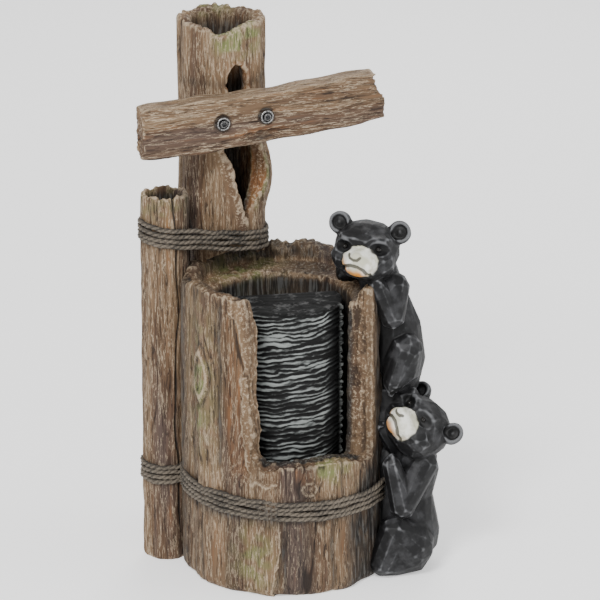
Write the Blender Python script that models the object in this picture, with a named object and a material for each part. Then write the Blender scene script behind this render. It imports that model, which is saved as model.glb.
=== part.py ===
"""Bear garden fountain: a log stump with two posts, a cross board, rope lashings and two climbing bear cubs.

All sizes are in metres, +Z is up and the front is -Y. The origin is on the ground at the stump's axis.
The log casting is one solid. The black water wall stands loose in its basin. Two bolts fill bores in the board.
"""

import bmesh
import bpy
import math
from mathutils import Matrix, Vector

# Stump
STUMP_RADIUS = 0.130
STUMP_RIM_HEIGHT = 0.390
STUMP_RIM_RISE = 0.012
STUMP_FOOT_ROUNDING = 0.005
STUMP_RIGHT_TAPER = 0.007
RIM_WALL = 0.019
BARK_DEPTH = 0.0030
BARK_LAYER = 0.006

# Basin inside the stump, with a smooth ledge round its back
BASIN_RADIUS = 0.092
BASIN_CENTRE = (-0.008, -0.012)
BASIN_FLOOR_HEIGHT = 0.062
LEDGE_DEPTH = 0.024
LEDGE_HEIGHT = STUMP_RIM_HEIGHT - LEDGE_DEPTH

# Front opening of the stump
SILL_HEIGHT = 0.174
OPENING_TOP_LEFT = math.radians(-137.0)
OPENING_BOTTOM_LEFT = math.radians(-130.0)
OPENING_RIGHT = math.radians(-48.0)
TORN_BARK_WIDTH = math.radians(11.0)

# Knots on the stump's bark, each at an angle and a height
TALL_KNOT_ANGLE = math.radians(-165.0)
TALL_KNOT_HEIGHT = 0.276
ROUND_KNOT_ANGLE = math.radians(-96.0)
ROUND_KNOT_HEIGHT = 0.148
ROUND_KNOT_RADIUS = 0.0095
KNOT_SINK = 0.006

# Main post, behind and left of the stump's axis
MAIN_POST_RADIUS = 0.055
MAIN_POST_WALL = 0.017
MAIN_POST_HEIGHT = 0.701
MAIN_POST_ANGLE = math.radians(110.0)
MAIN_POST_SINK = 0.0053
MAIN_HOLLOW_FLOOR_HEIGHT = 0.446
MAIN_RIM_NOTCH_DEPTH = 0.013

# Spout gash and knot hole in the main post's front
GASH_TIP_ANGLE = math.radians(-75.0)
GASH_LEFT = math.radians(-110.0)
GASH_RIGHT = math.radians(-38.0)
GASH_TIP_HEIGHT = 0.440
GASH_TOP_HEIGHT = 0.556
GASH_LIP_ANGLE = math.radians(-26.0)
GASH_LIP_HEIGHT = 0.494
GASH_LIP_FLARE = 0.011
KNOT_HOLE_ANGLE = math.radians(-87.0)
KNOT_HOLE_HALF_WIDTH = 0.016
KNOT_HOLE_HEIGHT = 0.624
KNOT_HOLE_HALF_HEIGHT = 0.028

# Small post, at the stump's back left
SMALL_POST_RADIUS = 0.029
SMALL_POST_WALL = 0.006
SMALL_POST_HEIGHT = 0.490
SMALL_POST_ANGLE = math.radians(151.3)
SMALL_POST_SINK = 0.005
SMALL_HOLLOW_DEPTH = 0.070

# Cross board
BOARD_LEFT_REACH = 0.129
BOARD_RIGHT_REACH = 0.190
BOARD_HEIGHT = 0.062
BOARD_TAPER = 0.010
BOARD_TORN_END = 0.012
BOARD_THICKNESS = 0.032
BOARD_SINK = 0.005
BOARD_CENTRE_HEIGHT = 0.5865
BOARD_TILT = math.radians(3.4)

# Bolts in the board
BOLT_HEAD_RADIUS = 0.0085
BOLT_HEAD_HEIGHT = 0.0050
BOLT_SHANK_RADIUS = 0.0040
BOLT_SHANK_LENGTH = 0.020
BOLT_SPACING = 0.0580
BOLT_PAIR_SHIFT = 0.002
BOLT_BORE_EXTRA_DEPTH = 0.002

# Ropes
STRAND_DIAMETER = 0.009
UPPER_ROPE_HEIGHT = 0.428
UPPER_ROPE_SLOPE = 0.13
LOWER_ROPE_HEIGHT = 0.118
LOWER_ROPE_SLOPE = 0.03
ROPE_STRANDS = 3
POST_COIL_STRANDS = 4
ROPE_STATION_LENGTH = 0.0130
ROPE_TWIST_DEPTH = 0.0012

# Water wall
WATER_WALL_RADIUS = 0.074
WATER_WALL_BACK = 0.018
WATER_WALL_FACING = math.radians(-100.0)
WATER_WALL_HEIGHT = 0.361
WATER_WALL_CROWN = 0.006
WATER_WALL_RIBS = 12
WATER_WALL_RIB_DEPTH = 0.0016
SEAM_ANGLE = math.radians(-36.0)
SEAM_WIDTH = math.radians(9.0)
SEAM_HEIGHT = 0.0045

# Fits
SEAT_GAP = 0.0003
BORE_CLEARANCE = 0.0003

# Bears
BEAR_HEAD_RADIUS = 0.0432
BEAR_VOXEL = 0.0034
BEAR_FACE_SHARE = 0.070
UPPER_BEAR_ANGLE = math.radians(-22.0)
LOWER_BEAR_ANGLE = math.radians(-27.0)

CUT_MARGIN = 0.05
CASTING_FACE_SHARE = 0.70


def clear_scene():
    for thing in list(bpy.data.objects):
        bpy.data.objects.remove(thing, do_unlink=True)


def material(name, colour, roughness, metallic=0.0):
    made = bpy.data.materials.new(name)
    made.use_nodes = True
    shader = made.node_tree.nodes["Principled BSDF"]
    shader.inputs["Base Color"].default_value = (*colour, 1.0)
    shader.inputs["Roughness"].default_value = roughness
    shader.inputs["Metallic"].default_value = metallic
    return made


def add_object(name, mesh, finish=None):
    made = bpy.data.objects.new(name, mesh)
    bpy.context.scene.collection.objects.link(made)
    if finish is not None:
        mesh.materials.append(finish)
    return made


def as_tool(thing):
    """Marks an object that only cuts or joins another."""
    thing.hide_render = True
    thing.display_type = "WIRE"
    return thing


def boolean(body, tool, operation):
    change = body.modifiers.new(f"{operation.lower()} {tool.name}", "BOOLEAN")
    change.operation = operation
    change.solver = "EXACT"
    change.object = as_tool(tool)


def polar(centre, angle, radius, z):
    return Vector((centre[0] + radius * math.cos(angle), centre[1] + radius * math.sin(angle), z))


def loft(name, rings, finish=None, closed=False):
    """A closed mesh through rings with equal numbers of points. Open lofts get a cap at each end."""
    mesh = bpy.data.meshes.new(name)
    build = bmesh.new()
    rows = [[build.verts.new(point) for point in ring] for ring in rings]
    count = len(rows[0])
    pairs = list(zip(rows, rows[1:]))
    if closed:
        pairs.append((rows[-1], rows[0]))
    for low, high in pairs:
        for i in range(count):
            j = (i + 1) % count
            build.faces.new((low[i], low[j], high[j], high[i]))
    if not closed:
        build.faces.new(reversed(rows[0]))
        build.faces.new(rows[-1])
    bmesh.ops.recalc_face_normals(build, faces=build.faces)
    bmesh.ops.triangulate(build, faces=build.faces)
    build.to_mesh(mesh)
    build.free()
    return add_object(name, mesh, finish)


def angles(count):
    return [2 * math.pi * i / count for i in range(count)]


def angle_between(a, b):
    """The signed turn from b to a, from -pi to pi."""
    return (a - b + math.pi) % (2 * math.pi) - math.pi


def bump(distance, half_width):
    """1 at the middle, 0 at half_width and beyond, with a smooth shoulder."""
    share = min(1.0, abs(distance) / half_width)
    return (1 - share * share) ** 2


def ragged(angle, seed):
    """A broken edge from -1 to 1, the same each time for one seed."""
    return (
        0.45 * math.sin(5 * angle + 1.3 * seed)
        + 0.30 * math.sin(11 * angle + 2.1 * seed)
        + 0.25 * math.sin(19 * angle + 0.7 * seed)
    )


def bark(angle, z, ridges, seed):
    """Long bark ridges from -1 to 1 that wander a little with height."""
    wander = 0.35 * math.sin(9 * z + seed) + 0.2 * math.sin(21 * z + 2 * seed)
    return 0.6 * math.sin(ridges * angle + wander + seed) + 0.4 * math.sin(1.7 * ridges * angle - wander)


def post_centre(angle, distance):
    return (distance * math.cos(angle), distance * math.sin(angle))


def main_post_centre():
    return post_centre(MAIN_POST_ANGLE, STUMP_RADIUS - MAIN_POST_SINK)


def small_post_centre():
    return post_centre(SMALL_POST_ANGLE, STUMP_RADIUS + SMALL_POST_RADIUS - SMALL_POST_SINK)


def stump_rim(angle):
    """Rim height: a little higher at the front left, broken all round."""
    lift = STUMP_RIM_RISE * bump(angle_between(angle, math.radians(-155)), math.radians(50))
    return STUMP_RIM_HEIGHT + lift + 0.005 * ragged(angle, 2.0)


def stump_reach(angle, z):
    """Outside of the stump: bark ridges, and a little slimmer at the upper right."""
    slim = STUMP_RIGHT_TAPER * bump(angle_between(angle, math.radians(-20)), math.radians(70))
    slim *= min(1.0, 1.95 * z / STUMP_RIM_HEIGHT)
    return STUMP_RADIUS - slim + BARK_DEPTH * bark(angle, z, 9, 0.5)


def basin_reach(angle):
    """Distance from the stump's axis to the basin's wall."""
    way = Vector((math.cos(angle), math.sin(angle)))
    centre = Vector(BASIN_CENTRE)
    along = centre.dot(way)
    return along + math.sqrt(BASIN_RADIUS**2 - centre.length_squared + along * along)


def bowl_reach(angle):
    """Inside of the rim wall: behind the ledge at the back and right, flush with the basin in front."""
    full = STUMP_RADIUS - RIM_WALL
    front = bump(angle_between(angle, math.radians(-120)), math.radians(110))
    return full + (basin_reach(angle) + 0.002 - full) * min(1.0, 1.6 * front)


def stump():
    around = angles(76)
    rings = [[polar((0, 0), a, stump_reach(a, 0.0) - STUMP_FOOT_ROUNDING, 0.0) for a in around]]
    for share in (0.03, 0.155, 0.36, 0.565, 0.795):
        z = STUMP_RIM_HEIGHT * share
        rings.append([polar((0, 0), a, stump_reach(a, z), z) for a in around])
    rings.append([polar((0, 0), a, stump_reach(a, STUMP_RIM_HEIGHT), stump_rim(a)) for a in around])
    rings.append([polar((0, 0), a, bowl_reach(a) + 0.003, stump_rim(a) - 0.004) for a in around])
    rings.append([polar((0, 0), a, bowl_reach(a), LEDGE_HEIGHT + 0.002) for a in around])
    rings.append([polar((0, 0), a, basin_reach(a) - 0.001, LEDGE_HEIGHT - 0.003) for a in around])
    rings.append([polar((0, 0), a, basin_reach(a) - 0.004, BASIN_FLOOR_HEIGHT) for a in around])
    return loft("log_casting", rings, material("resin_bark", (0.23, 0.15, 0.10), 0.75))


def opening_outline():
    """The front opening as (angle, height), from the top left down, along the sill and up the right."""
    top = STUMP_RIM_HEIGHT + CUT_MARGIN
    rise = STUMP_RIM_HEIGHT - SILL_HEIGHT
    lean = OPENING_BOTTOM_LEFT - OPENING_TOP_LEFT
    left = [(0.0, 1.0), (0.25, 0.72), (0.10, 0.44), (0.75, 0.19), (1.0, 0.05), (1.8, -0.01)]
    outline = [(OPENING_TOP_LEFT, top)]
    outline += [(OPENING_TOP_LEFT + lean * share, SILL_HEIGHT + rise * up) for share, up in left]
    sill = [(-107, 0.01), (-92, 0.0), (-78, 0.014), (-66, -0.02), (-57, -0.055)]
    outline += [(math.radians(turn), SILL_HEIGHT + rise * up) for turn, up in sill]
    right = [(-2.5, -0.04), (0.0, 0.05), (0.6, 0.35), (-0.6, 0.68), (0.4, 0.91)]
    outline += [(OPENING_RIGHT + math.radians(turn), SILL_HEIGHT + rise * up) for turn, up in right]
    return outline + [(OPENING_RIGHT, top)]


def front_opening_cutter():
    inner, outer = 0.045, 2 * STUMP_RADIUS
    rings = [[polar((0, 0), a, radius, z) for a, z in opening_outline()] for radius in (inner, outer)]
    return loft("front_opening_cutter", rings)


def torn_bark_cutter():
    """Takes the outer bark off in a ragged strip down the opening's left side and under its corner."""
    low, high = STUMP_RADIUS - BARK_LAYER, STUMP_RADIUS + CUT_MARGIN
    edge = [
        (-0.90, 1.15), (-0.90, 0.985), (-0.50, 0.885), (-0.62, 0.77), (-0.20, 0.64), (-0.05, 0.525), (0.50, 0.43),
        (1.20, 0.39), (1.90, 0.405),
    ]
    rings = []
    for share, up in edge:
        z = STUMP_RIM_HEIGHT * up
        outside = OPENING_TOP_LEFT + TORN_BARK_WIDTH * share
        inside = outside + math.radians(24)
        lift = 0.02 if z < SILL_HEIGHT else 0.0
        rings.append(
            [polar((0, 0), turn, radius, z + up) for turn, radius, up in
             ((outside, low, 0.0), (inside, low, lift), (inside, high, lift), (outside, high, 0.0))]
        )
    return loft("torn_bark_cutter", rings)


def main_post_radius(angle, z):
    flare = GASH_LIP_FLARE * bump(angle_between(angle, GASH_LIP_ANGLE), math.radians(34))
    return (
        MAIN_POST_RADIUS
        + 0.0022 * bark(angle, z, 7, 1.7)
        + flare * bump(z - GASH_LIP_HEIGHT, 0.052)
        - 0.0015 * math.sin(14 * z)
    )


def main_post_rim(angle):
    notch = MAIN_RIM_NOTCH_DEPTH * bump(angle_between(angle, math.radians(-108)), math.radians(32))
    crack = 0.007 * bump(angle_between(angle, math.radians(60)), math.radians(12))
    return MAIN_POST_HEIGHT - notch - crack + 0.004 * ragged(angle, 0.4)


def main_post():
    centre = main_post_centre()
    around = angles(32)
    hollow = MAIN_POST_RADIUS - MAIN_POST_WALL
    heights = [0.0, 0.16, 0.400, 0.442, 0.468, 0.494, 0.520, 0.546, 0.625]
    rings = [[polar(centre, a, main_post_radius(a, z), z) for a in around] for z in heights]
    top = MAIN_POST_HEIGHT
    rings.append([polar(centre, a, main_post_radius(a, top) - 0.001, main_post_rim(a)) for a in around])
    rings.append([polar(centre, a, hollow + 0.002, main_post_rim(a) - 0.006) for a in around])
    rings.append([polar(centre, a, hollow, top - 0.05) for a in around])
    rings.append([polar(centre, a, hollow, MAIN_HOLLOW_FLOOR_HEIGHT) for a in around])
    return loft("main_post", rings)


def wall_cutter(name, centre, inner, outer, outline):
    """Cuts an outline of (angle, height) points straight through a post's wall."""
    rings = [[polar(centre, a, radius, z) for a, z in outline] for radius in (inner, outer)]
    return loft(name, rings)


def gash_outline():
    """A torn spout as (angle, height), wide under the board and closing to a tip."""
    rise = GASH_TOP_HEIGHT - GASH_TIP_HEIGHT
    left = [(1.0, 1.0), (1.0, 0.82), (0.62, 0.60), (0.50, 0.42), (0.20, 0.14)]
    right = [(0.20, 0.12), (0.62, 0.30), (1.0, 0.48), (1.0, 0.64), (0.80, 0.82), (0.74, 1.0)]
    outline = [(GASH_TIP_ANGLE + (GASH_LEFT - GASH_TIP_ANGLE) * side, up) for side, up in left]
    outline.append((GASH_TIP_ANGLE, 0.0))
    outline += [(GASH_TIP_ANGLE + (GASH_RIGHT - GASH_TIP_ANGLE) * side, up) for side, up in right]
    return [(turn, GASH_TIP_HEIGHT + rise * up) for turn, up in outline]


def knot_hole_outline():
    sweep = KNOT_HOLE_HALF_WIDTH / MAIN_POST_RADIUS
    return [
        (KNOT_HOLE_ANGLE + sweep * math.cos(t), KNOT_HOLE_HEIGHT + KNOT_HOLE_HALF_HEIGHT * math.sin(t))
        for t in angles(10)
    ]


def small_post():
    centre = small_post_centre()
    around = angles(22)
    hollow = SMALL_POST_RADIUS - SMALL_POST_WALL

    def radius(a, z):
        return SMALL_POST_RADIUS + 0.0014 * bark(a, z, 4, 2.6)

    def rim(a):
        return SMALL_POST_HEIGHT + 0.004 * ragged(a, 1.1)

    rings = [[polar(centre, a, radius(a, z), z) for a in around] for z in (0.0, 0.12, 0.25, 0.37, 0.45)]
    rings.append([polar(centre, a, radius(a, SMALL_POST_HEIGHT), rim(a)) for a in around])
    rings.append([polar(centre, a, hollow, rim(a) - 0.002) for a in around])
    rings.append([polar(centre, a, hollow - 0.001, SMALL_POST_HEIGHT - SMALL_HOLLOW_DEPTH) for a in around])
    return loft("small_post", rings)


def board_front():
    return main_post_centre()[1] - MAIN_POST_RADIUS + BOARD_SINK - BOARD_THICKNESS


def board_height_at(x):
    return BOARD_CENTRE_HEIGHT + (x - main_post_centre()[0]) * math.tan(BOARD_TILT)


def cross_board():
    """A split plank across the post's front, with torn ends and worn long edges."""
    centre_x = main_post_centre()[0]
    front = board_front()
    stations = 14
    length = BOARD_LEFT_REACH + BOARD_RIGHT_REACH
    chamfer = 0.005
    rings = []
    for i in range(stations + 1):
        share = i / stations
        x = centre_x - BOARD_LEFT_REACH + length * share
        middle = board_height_at(x)
        half = (BOARD_HEIGHT - BOARD_TAPER * (share - 0.5)) / 2
        half += 0.002 * math.sin(9 * share) + 0.0015 * math.sin(31 * share)
        section = [
            (front + chamfer, -half), (front, -half + chamfer), (front + 0.0015, -0.35 * half),
            (front - 0.001, 0.1 * half), (front, half - chamfer), (front + chamfer, half),
            (front + BOARD_THICKNESS - chamfer, half), (front + BOARD_THICKNESS, half - chamfer),
            (front + BOARD_THICKNESS, -half + chamfer), (front + BOARD_THICKNESS - chamfer, -half),
        ]
        ring = []
        for k, (y, z) in enumerate(section):
            reach = 0.0
            if i in (0, stations):
                reach = 0.006 * math.sin(2.3 * k + i)
            if i == stations and z > 0:
                reach -= BOARD_TORN_END
            ring.append(Vector((x + reach, y, middle + z)))
        rings.append(ring)
    return loft("cross_board", rings)


def bolt_x(side):
    return main_post_centre()[0] + BOLT_PAIR_SHIFT + side * BOLT_SPACING / 2


def turned_solid(name, profile, sides, origin, finish=None):
    """A solid turned about the Y axis through origin: profile lists (radius, distance behind the origin)."""
    rings = []
    for radius, back in profile:
        ring = [
            Vector((origin[0] + radius * math.cos(t), origin[1] + back, origin[2] + radius * math.sin(t)))
            for t in angles(sides)
        ]
        rings.append(ring)
    return loft(name, rings, finish)


def bolt_seat(side):
    """Where the bolt head's underside meets the board's front face."""
    x = bolt_x(side)
    return (x, board_front() - 0.001 - SEAT_GAP, board_height_at(x))


def bolt(side, name, finish):
    head = [
        (0.30 * BOLT_HEAD_RADIUS, -BOLT_HEAD_HEIGHT),
        (0.72 * BOLT_HEAD_RADIUS, -0.82 * BOLT_HEAD_HEIGHT),
        (BOLT_HEAD_RADIUS, -0.35 * BOLT_HEAD_HEIGHT),
        (BOLT_HEAD_RADIUS, 0.0),
        (BOLT_SHANK_RADIUS, 0.0),
        (BOLT_SHANK_RADIUS, BOLT_SHANK_LENGTH),
    ]
    return turned_solid(name, head, 12, bolt_seat(side), finish)


def bolt_bore(side):
    radius = BOLT_SHANK_RADIUS + BORE_CLEARANCE
    depth = BOLT_SHANK_LENGTH + BOLT_BORE_EXTRA_DEPTH
    return turned_solid(f"bolt_bore_{side}", [(radius, -CUT_MARGIN), (radius, depth)], 12, bolt_seat(side))


def bolt_pad(side):
    """A flat round boss in the board that the bolt head sits on."""
    x, y, z = bolt_seat(side)
    face = y + SEAT_GAP
    profile = [(BOLT_HEAD_RADIUS + 0.003, 0.0), (BOLT_HEAD_RADIUS + 0.0035, 0.008)]
    return turned_solid(f"bolt_pad_{side}", profile, 12, (x, face, z))


def hull_path(circles, margin, spacing):
    """Evenly spaced points round the outline that a tight cord makes about (centre, radius) circles."""
    fine = []
    for t in angles(360):
        way = Vector((math.cos(t), math.sin(t)))
        centre, radius = max(circles, key=lambda c: Vector(c[0]).dot(way) + c[1])
        fine.append(Vector(centre) + way * (radius + margin))
    lengths = [0.0]
    for a, b in zip(fine, fine[1:] + fine[:1]):
        lengths.append(lengths[-1] + (b - a).length)
    count = max(12, round(lengths[-1] / spacing))
    points = []
    k = 0
    for i in range(count):
        want = lengths[-1] * i / count
        while lengths[k + 1] < want:
            k += 1
        share = (want - lengths[k]) / (lengths[k + 1] - lengths[k])
        points.append(fine[k].lerp(fine[(k + 1) % len(fine)], share))
    return points


def rope_band(name, path, height_at, strands):
    """Stacked rope strands on a closed path, half sunk in the wood, each lobe stepping in and out."""
    radius = STRAND_DIAMETER / 2
    rings = []
    for i, point in enumerate(path):
        ahead = path[(i + 1) % len(path)] - path[i - 1]
        out = Vector((ahead.y, -ahead.x)).normalized()
        base = height_at(point) - strands * radius
        ring = [(-2.2 * radius, 0.15 * radius)]
        for k in range(strands):
            twist = ROPE_TWIST_DEPTH * (1 if (i + k) % 2 else -1)
            ring.append((-0.25 * radius, 2 * radius * k + 0.1 * radius))
            ring.append((radius + twist, 2 * radius * k + radius + 0.4 * twist))
        ring.append((-0.25 * radius, 2 * radius * strands - 0.1 * radius))
        ring.append((-2.2 * radius, 2 * radius * strands - 0.15 * radius))
        rings.append([Vector((*(point + out * reach), base + up)) for reach, up in ring])
    return loft(name, rings, closed=True)


def upper_rope():
    circles = [(main_post_centre(), MAIN_POST_RADIUS), (small_post_centre(), SMALL_POST_RADIUS)]
    path = hull_path(circles, STRAND_DIAMETER * 0.25, ROPE_STATION_LENGTH)
    middle = (main_post_centre()[0] + small_post_centre()[0]) / 2

    def height_at(point):
        return UPPER_ROPE_HEIGHT - UPPER_ROPE_SLOPE * (point.x - middle)

    return rope_band("upper_rope", path, height_at, ROPE_STRANDS)


def lower_rope():
    circles = [((0.0, 0.0), STUMP_RADIUS), (main_post_centre(), MAIN_POST_RADIUS)]
    path = hull_path(circles, STRAND_DIAMETER * 0.25, ROPE_STATION_LENGTH * 1.2)
    return rope_band("lower_rope", path, lambda p: LOWER_ROPE_HEIGHT - LOWER_ROPE_SLOPE * p.x, ROPE_STRANDS)


def post_coils():
    path = hull_path([(small_post_centre(), SMALL_POST_RADIUS)], STRAND_DIAMETER * 0.25, ROPE_STATION_LENGTH)
    return rope_band("post_coils", path, lambda p: LOWER_ROPE_HEIGHT, POST_COIL_STRANDS)


def water_wall():
    """The ribbed black insert the water runs down: round in front, flat behind, a seam bead at its right."""
    floor = BASIN_FLOOR_HEIGHT + SEAT_GAP
    corner = math.acos(-WATER_WALL_BACK / WATER_WALL_RADIUS)
    steps = 28
    turns = [corner * (2 * i / steps - 1) for i in range(steps + 1)]

    def ring(z, inset, tilt):
        points = []
        for turn in turns:
            a = WATER_WALL_FACING + turn
            bead = SEAM_HEIGHT * bump(angle_between(a, SEAM_ANGLE), SEAM_WIDTH)
            points.append(polar((0, 0), a, WATER_WALL_RADIUS - inset + bead, z))
            points[-1].z += tilt * points[-1].x
        return points

    rings = [ring(floor, 0.0, 0.0)]
    step = (WATER_WALL_HEIGHT - floor - 0.026) / WATER_WALL_RIBS
    for i in range(WATER_WALL_RIBS):
        rings.append(ring(floor + 0.012 + step * i, WATER_WALL_RIB_DEPTH * (i % 2), 0.05))
    rings.append(ring(WATER_WALL_HEIGHT - WATER_WALL_CROWN, 0.002, 0.0))
    rings.append(ring(WATER_WALL_HEIGHT - 0.3 * WATER_WALL_CROWN, 0.010, 0.0))
    return loft("water_wall", rings, material("black_slate_resin", (0.02, 0.02, 0.022), 0.35))


def ball(build, centre, radii, frame, segments=14, rings=9):
    """An ellipsoid added to a bmesh, with its radii along the axes of frame."""
    place = Matrix.Translation(centre) @ frame.to_4x4() @ Matrix.Diagonal((*radii, 1.0))
    bmesh.ops.create_uvsphere(build, u_segments=segments, v_segments=rings, radius=1.0, matrix=place)


def limb(build, *joints):
    """A limb or trunk as overlapping balls through joints of (point, radius)."""
    for (start, thick), (end, thin) in zip(joints, joints[1:]):
        beads = max(3, math.ceil(2.6 * (end - start).length / thin))
        for i in range(beads + 1):
            share = i / beads
            radius = thick + (thin - thick) * share
            ball(build, start.lerp(end, share), (radius, radius, radius), Matrix.Identity(3), 12, 8)


def head_frame(face_angle, pitch, roll):
    """Axes of a head: X to its left, -Y out of the face, Z up."""
    level = math.cos(pitch)
    face = Vector((math.cos(face_angle) * level, math.sin(face_angle) * level, math.sin(pitch)))
    side = Vector((-face.y, face.x, 0.0)).normalized()
    side.rotate(Matrix.Rotation(roll, 3, face))
    up = face.cross(side)
    return Matrix((side, -face, up)).transposed()


def bear_head(build, centre, frame):
    size = BEAR_HEAD_RADIUS
    upright = Matrix.Identity(3)

    def lump(place, radii, turn=upright):
        ball(build, centre + frame @ (Vector(place) * size), tuple(r * size for r in radii), frame @ turn)

    lump((0.0, 0.0, 0.04), (0.98, 0.90, 0.84))
    lump((0.0, -0.12, -0.34), (0.92, 0.78, 0.56))
    lump((0.0, -0.38, 0.32), (0.80, 0.54, 0.36))
    lump((0.0, -0.78, -0.26), (0.53, 0.50, 0.38))
    lump((0.0, -0.84, -0.50), (0.38, 0.34, 0.22))
    lump((0.0, -1.20, -0.12), (0.18, 0.12, 0.13))
    for side in (-1, 1):
        lump((0.50 * side, -0.42, -0.22), (0.45, 0.42, 0.44))
        lean = Matrix.Rotation(math.radians(40 * side), 3, "Y")
        lump((0.86 * side, -0.02, 0.64), (0.33, 0.16, 0.33), lean)
        lump((0.74 * side, 0.04, 0.50), (0.26, 0.20, 0.26), lean)


def bear_solid(name, limbs, head_centre, frame, angle):
    """One cub as overlapping lumps, wrapped in one skin and reduced to broad knife-cut facets."""
    mesh = bpy.data.meshes.new(name)
    build = bmesh.new()
    out = Vector((math.cos(angle), math.sin(angle), 0.0))
    along = Vector((-math.sin(angle), math.cos(angle), 0.0))
    for joints in limbs:
        placed = []
        for reach, aside, up, radius in joints:
            placed.append((out * (STUMP_RADIUS + reach) + along * aside + Vector((0, 0, up)), radius))
        limb(build, *placed)
    bear_head(build, head_centre, frame)
    build.to_mesh(mesh)
    build.free()
    made = add_object(name, mesh)
    skin = made.modifiers.new("one skin", "REMESH")
    skin.mode = "VOXEL"
    skin.voxel_size = BEAR_VOXEL
    facets = made.modifiers.new("facets", "DECIMATE")
    facets.ratio = BEAR_FACE_SHARE
    return made


def upper_bear():
    """Hangs on the stump's right side, chin on the rim. Joints are (out, aside, up, radius) at its angle."""
    limbs = [
        [(-0.014, -0.006, 0.400, 0.026), (-0.005, 0.000, 0.366, 0.028), (0.007, 0.000, 0.318, 0.032)],
        [(0.007, 0.000, 0.318, 0.032), (0.012, 0.000, 0.280, 0.036), (0.014, 0.004, 0.250, 0.028)],
        [(0.014, -0.024, 0.272, 0.027), (0.004, -0.034, 0.306, 0.020), (0.002, -0.038, 0.250, 0.016)],
        [(0.014, 0.024, 0.272, 0.027), (0.004, 0.034, 0.306, 0.020), (0.002, 0.038, 0.252, 0.015)],
        [(0.009, -0.018, 0.378, 0.020), (0.007, -0.033, 0.345, 0.016), (-0.014, -0.035, 0.388, 0.011)],
        [(-0.002, 0.020, 0.374, 0.019), (-0.022, 0.044, 0.388, 0.014), (-0.056, 0.047, 0.374, 0.011)],
    ]
    centre = Vector((0.0915, -0.0520, 0.4275))
    frame = head_frame(math.radians(-121), math.radians(12), math.radians(-5))
    return bear_solid("upper_bear", limbs, centre, frame, UPPER_BEAR_ANGLE)


def lower_bear():
    """Sits on the ground at the stump's right and hugs it, its head tipped back and to one side."""
    limbs = [
        [(0.036, -0.004, 0.162, 0.027), (0.037, 0.000, 0.134, 0.031), (0.032, 0.003, 0.098, 0.028)],
        [(0.032, 0.003, 0.098, 0.028), (0.030, 0.004, 0.044, 0.040)],
        [(0.004, 0.000, 0.140, 0.024), (0.004, 0.000, 0.040, 0.030)],
        [(0.036, -0.026, 0.038, 0.030), (0.016, -0.040, 0.060, 0.021), (0.001, -0.044, 0.020, 0.018)],
        [(0.036, 0.030, 0.038, 0.030), (0.016, 0.044, 0.060, 0.021), (0.003, 0.046, 0.024, 0.015)],
        [(0.048, -0.016, 0.146, 0.021), (0.026, -0.040, 0.097, 0.017), (0.012, -0.041, 0.152, 0.012)],
        [(0.044, 0.020, 0.142, 0.020), (0.010, 0.042, 0.120, 0.015), (-0.004, 0.030, 0.160, 0.011)],
        [(0.014, -0.008, 0.165, 0.013), (-0.003, -0.015, 0.194, 0.010)],
    ]
    centre = Vector((0.1535, -0.0880, 0.1935))
    frame = head_frame(math.radians(-139), math.radians(40), math.radians(-37))
    return bear_solid("lower_bear", limbs, centre, frame, LOWER_BEAR_ANGLE)


def ground_cutter():
    """Trims whatever dips below the ground, so that the underside is one flat face."""
    side, depth = 0.5, 0.1
    corners = [(-side, -side), (side, -side), (side, side), (-side, side)]
    rings = [[Vector((x, y, z)) for x, y in corners] for z in (-depth, 0.0)]
    return loft("ground_cutter", rings)


def knot(name, angle, height, sections):
    """A raised knot on the bark. Sections are (distance above its middle, half width, reach outwards)."""
    out = Vector((math.cos(angle), math.sin(angle), 0.0))
    along = Vector((-math.sin(angle), math.cos(angle), 0.0))
    rings = []
    for up, half, proud in sections:
        middle = out * (STUMP_RADIUS - KNOT_SINK) + Vector((0, 0, height + up))
        rings.append([middle + along * half * math.cos(t) + out * proud * math.sin(t) for t in angles(10)])
    return loft(name, rings)


def tall_knot():
    """The almond-shaped knot at the left."""
    almond = [(-0.030, 0.001), (-0.018, 0.008), (0.0, 0.012), (0.018, 0.008), (0.032, 0.001)]
    sections = [(up, half, 0.009 + 0.3 * half) for up, half in almond]
    return knot("tall_knot", TALL_KNOT_ANGLE, TALL_KNOT_HEIGHT, sections)


def round_knot():
    """The small round knot under the sill."""
    sections = []
    for level in (-80, -45, 0, 45, 80):
        up, half = (ROUND_KNOT_RADIUS * way(math.radians(level)) for way in (math.sin, math.cos))
        sections.append((up, half, KNOT_SINK + 0.35 * half))
    return knot("round_knot", ROUND_KNOT_ANGLE, ROUND_KNOT_HEIGHT, sections)


def build_fountain():
    clear_scene()
    casting = stump()
    boolean(casting, front_opening_cutter(), "DIFFERENCE")
    boolean(casting, torn_bark_cutter(), "DIFFERENCE")
    post = main_post()
    inner = 0.5 * (MAIN_POST_RADIUS - MAIN_POST_WALL)
    outer = MAIN_POST_RADIUS + CUT_MARGIN
    for name, outline in (("gash_cutter", gash_outline()), ("knot_hole_cutter", knot_hole_outline())):
        boolean(post, wall_cutter(name, main_post_centre(), inner, outer, outline), "DIFFERENCE")
    board = cross_board()
    lashings = (upper_rope(), lower_rope(), post_coils())
    for piece in (post, small_post(), board, *lashings, tall_knot(), round_knot(), upper_bear(), lower_bear()):
        boolean(casting, piece, "UNION")
    merged = casting.modifiers.new("drops slivers left by the joins", "DECIMATE")
    merged.ratio = CASTING_FACE_SHARE
    steel = material("bolt_steel", (0.45, 0.45, 0.46), 0.4, 1.0)
    for side, name in ((-1, "left_board_bolt"), (1, "right_board_bolt")):
        boolean(casting, bolt_pad(side), "UNION")
        boolean(casting, bolt_bore(side), "DIFFERENCE")
        bolt(side, name, steel)
    boolean(casting, ground_cutter(), "DIFFERENCE")
    water_wall()


build_fountain()
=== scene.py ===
import math
import bmesh
import bpy
import numpy as np
from mathutils import Matrix, Vector, bvhtree


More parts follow.
